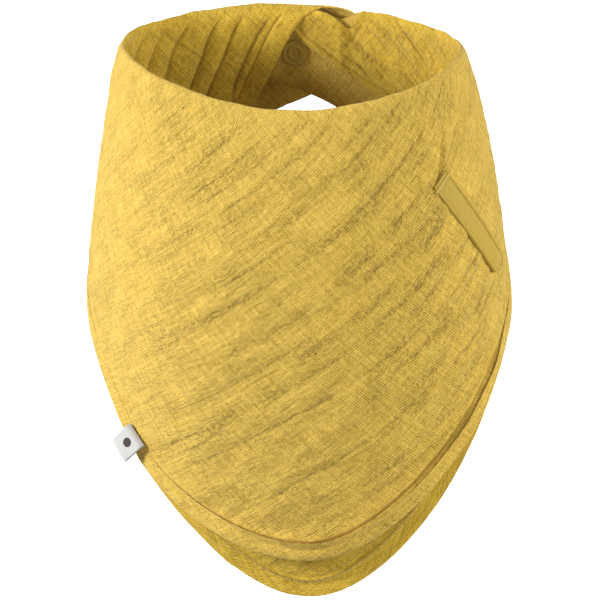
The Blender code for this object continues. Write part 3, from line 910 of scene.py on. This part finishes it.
def build_lining():
    """From the right wing's seam round the front to the left wing's free diagonal edge."""
    angles = column_angles(-WING_ANGLE, WING_ANGLE, MAIN_SPACING * 1.1)
    angles = np.concatenate([angles, [WING_ANGLE + SEAM_STEP]])
    drop = drop_rows(0.0, hem_lining(angles), LINING_ROWS)
    rows = drop.shape[1]
    angle = np.repeat(angles[:, None], rows, 1)
    facing_angle, facing_drop = facing_columns(angle[0])
    angle, drop = np.concatenate([facing_angle, angle]), np.concatenate([facing_drop, drop])
    from_edge = (from_back(angle) - facing_edge(drop)) * BACK_RADIUS * 0.85
    from_edge = np.where(angle < 0, np.maximum(from_edge, 0), 1.0)
    from_foot = (hem_lining(angle) - drop) / hem_stretch(hem_lining, angle)
    grid, _ = cloth_grid(LINING, angle, drop, np.minimum(from_foot, from_edge * HEM_WIDTH / FACING_HEM))
    rim = EDGE_RIM * bump(from_edge, 0.008) * smooth(drop / 0.004)
    grid = turned_in(grid._replace(points=grid.points + grid.normals * rim[..., None]), TURNED_IN[1])
    paint_overlap_shadow(grid, angle, drop)
    seam_normals = grid.normals[-2, :rows]
    grid = Grid(*[a[:-1] for a in grid])
    flipped = turned_in(swap(Grid(*[a[::-1] for a in grid])), TURNED_IN[1], rows)
    grid = Grid(*[a[::-1] for a in swap(flipped)])
    piece = grid_piece("lining_cloth", grid, -1, SHADED_LINING_MUSLIN)
    keep_normals(piece, grid.points.shape, (-1,), (seam_normals,))
    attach(piece, "bib")
    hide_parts("lining_panel")


# ---------- the wings and their straps
STRAP_SPACING = 0.00095
STRAP_SLANT = 0.92                    # metres across a strap's foot for each metre of drop
CORNER_SOFTNESS = 0.004
EDGE_ROLLS = np.linspace(0, math.pi, 6)[1:-1]
CAP_ROLLS = np.linspace(0, math.pi / 2, 5)[1:]
REAR_SHIFT = 0.9                      # moves the rear face's crinkles away from the front's
STRAP_STITCH_INSET = 0.0045
LOBE_STITCH_INSET = 0.0036


def strap_outline(tip, low_edge, top_fall, pinch=0.42, rounding=0.25):
    """Columns from the wing's seam to a rounded tip: radians from the back, with top and foot drops."""
    first = math.pi - WING_ANGLE
    count = int(round((first - tip) * BACK_RADIUS / STRAP_SPACING))
    back = np.linspace(first, tip, count + 1)
    back = np.concatenate([back[:-4], np.linspace(back[-5], tip, 12)[1:]])
    top, foot = top_fall(back), low_edge(back)
    near = np.clip(1 - (back - tip) / rounding, 0, 1)
    lost = (1 - np.sqrt(1 - near ** 2)) * (foot - top) * pinch
    return back, top + lost, foot - lost


def rolled(middle, half, out, rolls):
    """Points that swing from one side of an edge round towards the other."""
    size = np.linalg.norm(half, axis=-1, keepdims=True)
    return np.stack([middle + half * math.cos(roll) + out * size * math.sin(roll) for roll in rolls])


def strap_inset(layer, turn, back, drop, foot):
    """How far each point is from the strap's foot and tip, with the corner between them softened."""
    stretch = hem_stretch(layer.hem, turn * (math.pi - back[0, 0]))
    slant = STRAP_SLANT + (1 / stretch - STRAP_SLANT) * smooth((back - 0.5) / 0.2)
    from_foot = (foot[:, None] - drop) * slant
    from_tip = (back - back[-1]) * BACK_RADIUS
    parts = np.exp(-from_foot / CORNER_SOFTNESS) + np.exp(-from_tip / CORNER_SOFTNESS)
    return np.where(from_tip > 0.02, from_foot, -CORNER_SOFTNESS * np.log(parts))


def strap_ring(front, rear):
    """Rings round the doubled strap: front face, foot, rear face, top; and the cap over its tip."""
    foot_mid, top_mid = (front[:, -1] + rear[:, -1]) / 2, (front[:, 0] + rear[:, 0]) / 2
    down, up = unit(front[:, -1] - front[:, -5]), unit(front[:, 0] - front[:, 3])
    foot = rolled(foot_mid, (front[:, -1] - rear[:, -1]) / 2, down, EDGE_ROLLS)
    top = rolled(top_mid, (rear[:, 0] - front[:, 0]) / 2, up, EDGE_ROLLS)
    ring = np.concatenate([front, foot.swapaxes(0, 1), rear[:, ::-1], top.swapaxes(0, 1)], 1)
    middle, rolls = (front[-1] + rear[-1]) / 2, len(EDGE_ROLLS)
    middle = np.concatenate([middle, np.repeat(foot_mid[-1:], rolls, 0), middle[::-1],
                             np.repeat(top_mid[-1:], rolls, 0)])
    return np.concatenate([ring, rolled(middle, ring[-1] - middle, unit(ring[-1] - ring[-4]), CAP_ROLLS)])


def round_strap(front, foot, rear, top):
    """Values for the rings of strap_ring, from those of its faces, its foot and its top."""
    rolls = len(EDGE_ROLLS)
    ring = np.concatenate([front, np.repeat(foot, rolls, 1), rear[:, ::-1], np.repeat(top, rolls, 1)], 1)
    return np.concatenate([ring, np.repeat(ring[-1:], len(CAP_ROLLS), 0)])


def strap_shell(name, layer, turn, outline, body, blend_from, blend_to, nodes, slot_name, stitch_inset, flat,
                area, puff=None, rear_shadow=None):
    """A strap of doubled cloth: two faces, soft edges all round, and a sewn hem along its foot and tip."""
    back, top, foot = outline
    drop = drop_rows(top, foot, 34, 0.0085, 20)
    backs = np.repeat(back[:, None], drop.shape[1], 1)
    inset = strap_inset(layer, turn, backs, drop, foot)
    angle, width = turn * (math.pi - backs), seam_width(backs, stitch_inset)
    order = slice(None, None, turn)
    grid, plain_normals = cloth_grid(layer, angle[order], drop[order], inset[order], width[order])
    grid, plain_normals = Grid(*[a[order] for a in grid]), plain_normals[order]
    plain, _ = face(layer, angle, drop, plain=True)
    height, _, _ = crinkle(angle * CLOTH_RADIUS, drop + layer.seed + REAR_SHIFT)
    rear = plain - plain_normals * (CLOTH_THICK + 0.6 * height)[..., None]
    front = grid.points
    if puff:
        share = np.clip((drop - top[:, None]) / (foot - top)[:, None], 0, 1)
        front = front + plain_normals * puff(backs, share)[..., None]
    ring = strap_ring(front, rear)
    uv = round_strap(grid.uv, grid.uv[:, -1:], grid.uv + REAR_SHIFT, grid.uv[:, :1])
    still = quiet(grid.marks)
    behind = still.copy()
    # painted shadow on the rear face
    if rear_shadow:
        behind[..., 0] = rear_shadow(backs, drop)
    marks = round_strap(grid.marks, still[:, -1:], behind, still[:, :1])
    marks[-len(CAP_ROLLS):] = quiet(marks[-len(CAP_ROLLS):])
    faces = grid_faces(*ring.shape[:2], layer.side * turn < 0, closed=True)
    piece = make_mesh(name, ring, faces, MUSLIN if layer.side > 0 else SHADED_LINING_MUSLIN, uv, marks)
    keep_normals(piece, ring.shape, (0,), (seam_shading(layer, turn, back[0], drop[0]),))
    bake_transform(piece)
    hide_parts(*nodes)
    return inset_route(layer, turn, outline, stitch_inset)


def seam_width(back, narrow):
    """The hem narrows from the panels' width to the strap's own."""
    return narrow + (HEM_WIDTH - narrow) * smooth((back - 0.38) / 0.32)


def seam_shading(layer, turn, back, drop):
    """The normals of a wing's seam column, worked out across the seam."""
    angle = turn * (math.pi - back) + SEAM_STEP * np.arange(-1, 2)[:, None] + 0 * drop
    points, _ = face(layer, angle, np.repeat(drop[None, :], 3, 0))
    return grid_normals(points, layer.side)[1]


def inset_route(layer, turn, outline, inset):
    """Where the stitching runs: along the strap's foot and up round its tip."""
    back, top, foot = outline
    drops = foot - seam_width(back, inset) / STRAP_SLANT
    keep = (back - back[-1]) * BACK_RADIUS > inset
    back, drops = back[keep], drops[keep]
    tip_drops = np.linspace(drops[-1], top[keep][-1] + inset, 15)[1:]
    backs = np.concatenate([back, np.full(len(tip_drops), back[-1])])
    drops = np.concatenate([drops, tip_drops])
    angle, distance = turn * (math.pi - backs), seam_width(backs, inset)
    points, _ = face(layer, angle, drops, distance, distance)
    return points, outward(angle, drops) * layer.side


LEFT_FOLD = ((-0.0475, 0.050, -0.02), (-0.0330, 0.054, -0.02))  # two points on each wing, passed to strap_shell
RIGHT_FOLD = ((0.0430, 0.041, -0.02), (0.0285, 0.048, -0.02))


def build_wings():
    left = strap_outline(STRAP_TIP[0], lambda back: wing_edge(0, back), lambda back: 0 * back)
    left_route = strap_shell(
        "left_wing", OUTER, -1, left, "left_strap", *LEFT_FOLD, ["left_strap"],
        "muslin", STRAP_STITCH_INSET, (0.090, 0.112), 0.0090)
    right = strap_outline(STRAP_TIP[1], lambda back: wing_edge(1, back),
                          lambda back: 0.0060 * smooth((0.50 - back) / 0.20))
    strap_shell(
        "right_wing", OUTER, 1, right, "right_strap", *RIGHT_FOLD, ["right_strap"],
        "muslin", STRAP_STITCH_INSET, (0.080, 0.100), 0.0072, rear_shadow=lobe_shadow)
    lobe = strap_outline(RIGHT_LINING_TIP, lambda back: hem_lining(math.pi - back), lobe_top, 0.30, 0.10)
    lobe_route = strap_shell(
        "right_wing_lining", LINING, 1, lobe, "right_strap", *RIGHT_FOLD, ["right_strap_lining"],
        "muslin_lining", LOBE_STITCH_INSET, (0.060, 0.066), 0.0034, puff=lobe_puff)
    return left_route, lobe_route


def lobe_top(back):
    """The top of the right strap's lining: level along the wing, then a pinch and its rounded end's arch."""
    arch = 0.0034 + 0.0064 * np.clip(np.abs(back - 0.150) / 0.200, 0, 1) ** 2.2
    return arch * smooth((0.46 - back) / 0.08)


def lobe_puff(back, share):
    """How far that rounded end stands away from the strap, most at its arch."""
    return 0.0030 * smooth((0.40 - back) / 0.10) * (1 - share) ** 0.8 * (0.55 + 0.45 * smooth(share / 0.12))


def lobe_shadow(back, drop):
    """The painted shadow on the strap behind that arch."""
    return 0.80 * bump(drop - lobe_top(back), 0.0040) * smooth((0.26 - back) / 0.16)


build_outer()
build_lining()
left_route, lobe_route = build_wings()


# ---------- stitching
FOLD_CLEARANCE = 0.028                # the strap stitching stops here, short of the wings' folds


def hem_route(layer, first, last):
    angle = np.linspace(first, last, 700)
    drop = layer.hem(angle) - HEM_WIDTH * hem_stretch(layer.hem, angle)
    points, _ = face(layer, angle, drop)
    return points, outward(angle, drop) * layer.side


def build_stitching():
    front_points, front_normals = hem_route(LINING, math.radians(-20), math.radians(30))
    front_route = front_points - front_normals * CLOTH_THICK, -front_normals
    jobs = [("outer_hem_seam", hem_route(OUTER, -WING_ANGLE, WING_ANGLE), "bib", "outer_hem_stitching"),
            ("lining_hem_seam", hem_route(LINING, -WING_ANGLE, WING_ANGLE), "bib",
             "lining_hem_stitching_inside"),
            ("left_strap_seam", left_route, "left_strap", "left_strap_stitching"),
            ("right_strap_seam", lobe_route, "right_strap", "right_strap_stitching"),
            ("lining_front_seam", front_route, "bib", "lining_hem_stitching")]
    for name, (points, normals), body, node_name in jobs:
        if body != "bib":
            inside = np.abs(points[:, 0]) < FOLD_CLEARANCE
            inside |= points[:, 0] * (1 if body == "left_strap" else -1) > 0
            points, normals = points[inside], normals[inside]
        stitches(name, points, normals, body, node_name)


build_stitching()


# ---------- soother strap
SOOTHER_COLUMNS, SOOTHER_ROWS = 110, 26
SOOTHER_ROUNDS = 0.93                 # the share of its length where its end starts to round
SEAM_ACROSS = 0.80                    # the edge stitching's place, as a share of the half width
TACK_ACROSS = 0.86


def soother_place(along, across):
    """The angle and drop of a point of the strap, by shares of its length and of its half width."""
    sideways = SOOTHER_DOWN / SOOTHER_LENGTH * across * SOOTHER_WIDTH / 2
    upward = -SOOTHER_REACH / SOOTHER_LENGTH * across * SOOTHER_WIDTH / 2
    angle = SOOTHER_START[0] + SOOTHER_ACROSS * along + sideways / SOOTHER_RADIUS
    return angle, SOOTHER_START[1] + SOOTHER_DOWN * along + upward


def soother_lift(along):
    return SOOTHER_LOW + (SOOTHER_HIGH - SOOTHER_LOW) * smooth(along / SOOTHER_SNAP_AT)


def soother_surface(along, across):
    """The satin strap's top face: crowned edges, a shallow pressed middle and a pinch at the sewn end."""
    side = np.abs(across)
    crown = 0.00045 * np.sqrt(np.clip(1 - side ** 8, 0, 1)) + 0.00040 * bump(side - 0.88, 0.07)
    crown = crown - 0.00030 * bump(side - 0.72, 0.06) + SOOTHER_TILT * across
    ripple = 0.00014 * perlin(along / 0.045, across / 1.4, 61)
    ripple = ripple + 0.00008 * perlin(along / 0.018, across / 0.9, 62)
    sewn = -0.00030 * bump(along - 0.045, 0.020)
    dome = 0.0005 * bump(along - SOOTHER_SNAP_AT, 0.05) * bump(across, 0.75)
    return soother_lift(along) + 0.0004 + crown + ripple + sewn + dome


def build_soother():
    end = (1 - SOOTHER_ROUNDS) * np.sin(np.linspace(0, math.pi / 2, 15)[1:])
    share = np.concatenate([np.linspace(0, SOOTHER_ROUNDS, SOOTHER_COLUMNS), SOOTHER_ROUNDS + end])
    half = np.sqrt(np.clip(1 - np.clip((share - 0.925) / 0.0755, 0, 1) ** 2, 0.0, 1))
    half = np.where(share < 0.02, 0.97 + 0.03 * np.sqrt(np.clip(share / 0.02, 0, 1)), half)
    across = np.sin(np.linspace(-math.pi / 2, math.pi / 2, SOOTHER_ROWS))
    along = np.repeat(share[:, None], SOOTHER_ROWS, 1)
    sideways = across[None, :] * half[:, None]
    place = soother_place(along, sideways)
    top = cloth_point(*place, soother_surface(along, np.broadcast_to(across, along.shape)))
    under = cloth_point(*place, np.full(along.shape, SOOTHER_UNDER))
    ring = np.concatenate([top, under[:, ::-1]], 1)
    flat_uv = np.stack([sideways * SOOTHER_WIDTH / 2, along * 0.0625], -1)
    uv = np.concatenate([flat_uv, flat_uv[:, ::-1]], 1)
    faces = grid_faces(*ring.shape[:2], True, closed=True)
    faces.append(tuple(range(ring.shape[1])))
    piece = make_mesh("soother_ribbon", ring, faces, SATIN, uv)
    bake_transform(piece)
    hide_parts("soother_strap", "soother_strap_tab")


def build_soother_stitching():
    """The stitching along the strap's edges and round its end, and the bar tack over its sewn end."""
    edge = np.linspace(0.15, 0.90, 60)
    turn = np.linspace(-math.pi / 2, math.pi / 2, 16)[1:-1]
    along = np.concatenate([edge, 0.90 + 0.068 * np.cos(turn), edge[::-1]])
    across = np.concatenate([edge * 0 - SEAM_ACROSS, SEAM_ACROSS * np.sin(turn), edge * 0 + SEAM_ACROSS])
    place = soother_place(along, across)
    route = cloth_point(*place, soother_surface(along, across))
    stitches("soother_seam", route, outward(*place), "soother_strap", "soother_strap_stitching",
             0.0017, 0.0007, 0.00019)
    across = np.tile([-TACK_ACROSS, TACK_ACROSS], 15)
    along = np.linspace(0.030, 0.052, len(across))
    place = soother_place(along, across)
    route = cloth_point(*place, soother_surface(along, across * 0.9) + 0.0002)
    stitches("soother_bar_tack", route, outward(*place), "bib", "soother_strap_bar_tack",
             0.0044, 0.0002, 0.00024)


build_soother()
build_soother_stitching()


# ---------- press snaps

def rounded(steps):
    """A profile's corners, softened: each (radius, height, fillet) becomes a short arc."""
    profile = []
    for i, (radius, height, fillet) in enumerate(steps):
        if fillet == 0:
            profile.append((radius, height))
            continue
        corner = np.array([radius, height])
        before, after = [unit(np.array(steps[j][:2]) - corner) * fillet for j in (i - 1, i + 1)]
        for share in np.linspace(0, 1, 5):
            profile.append(tuple((corner + before * (1 - share) ** 2 + after * share ** 2).tolist()))
    return profile


CAP = rounded([
    (0.0002, -0.0002, 0), (0.0058, -0.0002, 0), (0.0062, 0.0002, 0.0003), (0.0062, 0.0009, 0.0004),
    (0.0055, 0.0012, 0.0003), (0.0046, 0.00085, 0.0003), (0.0037, 0.0008, 0.0003),
    (0.0033, 0.00115, 0.0002), (0.0026, 0.00112, 0.0002), (0.0022, 0.00065, 0.0003),
    (0.0011, 0.0005, 0.0003), (0.0008, 0.0008, 0.0002), (0.00001, 0.0009, 0)])
STUD = rounded([
    (0.0002, 0.0, 0), (0.0050, 0.0, 0.0001), (0.0050, 0.0008, 0.0003), (0.0042, 0.0009, 0.0002),
    (0.0030, 0.0007, 0.0003), (0.0018, 0.0009, 0.0003), (0.0018, 0.0019, 0.0003), (0.00001, 0.0022, 0)])
SOCKET = rounded([
    (0.0052, 0.0, 0), (0.0053, 0.0001, 0.0001), (0.0053, 0.0014, 0.0004), (0.0044, 0.00165, 0.0003),
    (0.0034, 0.00150, 0.0003), (0.0030, 0.00165, 0.0002), (0.0026, 0.0014, 0.0002),
    (0.0026, 0.0003, 0.0002), (0.00001, 0.0003, 0)])
SNAP_SIDES = 56
LEFT_FACE = OUTER_LIFT + LAP_OUT      # the left wing's visible face, over the draped surface
SOOTHER_SNAP_SIZE = 0.76


def build_snap(angle, drop, size, parts):
    """Lathed parts at one place on the cloth, each with its height over it and the way that it faces."""
    outer, place = outward(angle, drop), draped(angle, drop)
    for name, profile, lift, way, body, node_name in parts:
        axis = Vector(outer * way).normalized()
        turn = Vector((0, 0, 1)).rotation_difference(axis).to_matrix()
        points, faces = turned_points([(r * size, h * size) for r, h in profile], SNAP_SIDES)
        points = [tuple(Vector(place + outer * lift) + turn @ Vector(p)) for p in points]
        piece = make_mesh(name, points, faces, SNAP)
        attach(piece, body)
        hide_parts(node_name)


build_snap(SNAP_ANGLE, SNAP_DROP, 1, [
    ("snap_inner_cap", CAP, OUTER_LIFT - CLOTH_THICK - 0.0001, -1, "right_strap", "closure_inner_cap"),
    ("snap_stud", STUD, OUTER_LIFT - 0.0002, 1, "right_strap", "closure_stud"),
    ("snap_socket", SOCKET, LEFT_FACE - CLOTH_THICK + 0.0001, -1, "left_strap", "closure_socket"),
    ("snap_outer_cap", CAP, LEFT_FACE - 0.0003, 1, "left_strap", "closure_outer_cap")])
build_snap(*soother_place(SOOTHER_SNAP_AT, 0), SOOTHER_SNAP_SIZE, [
    ("soother_snap_socket", SOCKET, 0.0017, 1, "bib", "soother_socket"),
    ("soother_snap_stud", STUD, float(soother_lift(1.0)) + 0.0002, -1, "soother_strap", "soother_stud")])


# ---------- the side label
LABEL_ANGLE = math.radians(-49.0)
LABEL_WIDTH = 0.0120
LABEL_THICK = 0.00045
LABEL_TURN = math.radians(6)
LABEL_IN = 0.0038                     # how far the ribbon's fold is pushed in towards the hem
LABEL_CURL = 0.00035
# from the front leaf's end, round the fold, to the back leaf's end: out from the hem, away from the cloth
LABEL_PATH = np.array([
    (-0.0062, 0.0016), (-0.0057, 0.0032), (-0.0048, 0.0039), (-0.0030, 0.0045), (0.0010, 0.0060),
    (0.0036, 0.0070), (0.0044, 0.0072), (0.0046, 0.0067), (0.0041, 0.0063), (0.0010, 0.0052),
    (-0.0030, 0.0037), (-0.0048, 0.0029), (-0.0052, 0.0020), (-0.0054, 0.0012)])
DOT_RADIUS = 0.0021
DOT_RINGS, DOT_SIDES = 5, 40


def smooth_path(corners, count):
    """A smooth open path through the given points."""
    run = run_length(corners)
    path = along_path(np.linspace(0, run[-1], count), run, corners)
    for _ in range(12):
        path[1:-1] = (path[:-2] + 2 * path[1:-1] + path[2:]) / 4
    return path


def label_frame():
    """The label's own axes at the hem: along the hem, out from it, and away from the cloth."""
    drop = hem_lining(LABEL_ANGLE)
    base = draped(LABEL_ANGLE, drop)
    step = 0.02
    along = unit(draped(LABEL_ANGLE + step, hem_lining(LABEL_ANGLE + step)) - base)
    away = outward(LABEL_ANGLE, drop)
    out = unit(np.cross(along, away))
    near, far = math.cos(LABEL_TURN), math.sin(LABEL_TURN)
    return base, along * near - out * far, out * near + along * far, away


def label_curl(across, place):
    """The ribbon's curl across its width, which starts where it leaves the hem."""
    wave = LABEL_CURL * np.sin(across / LABEL_WIDTH * math.pi * 1.3 + 0.6)
    return wave * smooth((place + LABEL_IN + 0.001) / 0.004)


def build_label():
    base, along, out, away = label_frame()
    path = smooth_path(LABEL_PATH, 90) - np.array([LABEL_IN, 0])
    tangent = unit(np.gradient(path, axis=0))
    normal = np.stack([-tangent[:, 1], tangent[:, 0]], -1)
    across = np.linspace(-LABEL_WIDTH / 2, LABEL_WIDTH / 2, 24)
    curl = label_curl(across[None, :], path[:, :1])

    def leaf(side):
        flat = path + normal * side * LABEL_THICK / 2
        places = base + out * flat[:, :1] + away * flat[:, 1:]
        return places[:, None] + along * across[None, :, None] + away * curl[..., None]

    ring = np.concatenate([leaf(1), leaf(-1)[:, ::-1]], 1)
    flat_uv = np.stack(np.broadcast_arrays(across[None, :], run_length(path)[:, None]), -1)
    uv = np.concatenate([flat_uv, flat_uv[:, ::-1]], 1)
    columns, rows = ring.shape[:2]
    faces = grid_faces(columns, rows, True, closed=True)
    faces += [tuple(range(rows)), tuple(range((columns - 1) * rows, columns * rows))[::-1]]
    label = make_mesh("side_ribbon_label", ring, faces, LABEL, uv)
    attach(label, "bib")
    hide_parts("side_label")

    # a plain round dot woven into the front leaf
    front = np.concatenate([path, normal], 1)[:len(path) // 2]
    run = run_length(front[:, :2])
    share = np.repeat(np.arange(DOT_RINGS + 1) / DOT_RINGS, DOT_SIDES)
    turn = np.tile(TAU * np.arange(DOT_SIDES) / DOT_SIDES, DOT_RINGS + 1)
    across, at = DOT_RADIUS * share * np.cos(turn), run[-1] / 2 + DOT_RADIUS * share * np.sin(turn)
    place, up = np.split(along_path(at, run, front), 2, axis=1)
    lift = LABEL_THICK / 2 + 0.00004 + 0.0001 * np.sqrt(1 - share ** 4)
    spot = place + up * lift[:, None]
    curl = label_curl(across, place[:, 0])
    points = base + out * spot[:, :1] + away * (spot[:, 1] + curl)[:, None] + along * across[:, None]
    dot_uv = np.stack([across, at], -1)
    mark = make_mesh("side_label_dot", points, ring_faces(DOT_RINGS + 1, DOT_SIDES), LABEL_MARK, dot_uv)
    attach(mark, "bib")


build_label()


# ---------- studio
FLOOR_RADIUS = 3.0
FLOOR_GAP = 0.012
LIGHTS = (                            # name, place, its target's height, size, watts, colour
    ("key", (-1.13, -0.32, 0.32), -0.10, 0.40, 20.9, (0.97, 1.0, 1.06)),
    ("fill", (1.20, -0.38, 0.28), -0.10, 0.8, 16.0, (0.99, 1.0, 0.88)),
    ("front", (0.05, -1.35, 0.02), -0.15, 0.45, 5.3, (0.99, 0.99, 0.90)),
    ("back", (0.1, 1.35, 0.45), -0.10, 0.8, 9.0, (1, 1, 1)))
CAMERA_LENS = 118.7
CAMERA_SENSOR = 36.0
CAMERA_UP = math.radians(22.59)
CAMERA_DISTANCE = 0.90
CAMERA_TARGET = Vector((0.00136, 0, -0.1198))


def look_at(thing, target):
    direction = Vector(target) - thing.location
    thing.rotation_euler = direction.to_track_quat("-Z", "Y").to_euler()


def place_in_scene(name, data, place, target):
    thing = bpy.data.objects.new(name, data)
    thing.location = place
    bpy.context.scene.collection.objects.link(thing)
    look_at(thing, target)
    return thing


def build_floor():
    """A white floor that sweeps up all round."""
    material, tree, shader = new_material("studio_floor", {
        "Roughness": 0.9, "Emission Color": (1, 1, 1, 1), "Emission Strength": 0.80})
    grain = node(tree, "ShaderNodeTexNoise", Scale=6.0)
    colour = mix_colour(tree, grain.outputs[0], (0.93, 0.93, 0.93), (0.96, 0.96, 0.96))
    tree.links.new(colour, shader.inputs["Base Color"])
    level = cad_box[0][2] - FLOOR_GAP
    sweep = [(0.0, level), (FLOOR_RADIUS, level)]
    sweep += [(FLOOR_RADIUS + math.sin(turn), level + 1 - math.cos(turn))
              for turn in np.linspace(0.1, math.pi / 2, 16)]
    sweep.append((FLOOR_RADIUS + 1, level + 4))
    floor = make_mesh("studio_floor", *turned_points(sweep, 96), material)
    floor.visible_diffuse = False


def build_studio():
    scene = bpy.context.scene
    scene.view_settings.view_transform = "Standard"
    scene.world = bpy.data.worlds.new("studio")
    scene.world.use_nodes = True
    set_inputs(scene.world.node_tree.nodes["Background"], {0: (1.0, 0.995, 0.985, 1), 1: 0.16})
    build_floor()
    for name, place, height, size, power, colour in LIGHTS:
        data = bpy.data.lights.new(name, "AREA")
        data.shape = "DISK"
        data.size = size
        data.energy = power
        data.color = colour
        place_in_scene(name, data, place, (0, 0, height))
    data = bpy.data.cameras.new("camera")
    data.lens = CAMERA_LENS
    data.sensor_width = CAMERA_SENSOR
    away = Vector((0, -math.cos(CAMERA_UP), math.sin(CAMERA_UP)))
    scene.camera = place_in_scene("camera", data, CAMERA_TARGET + CAMERA_DISTANCE * away, CAMERA_TARGET)


build_studio()
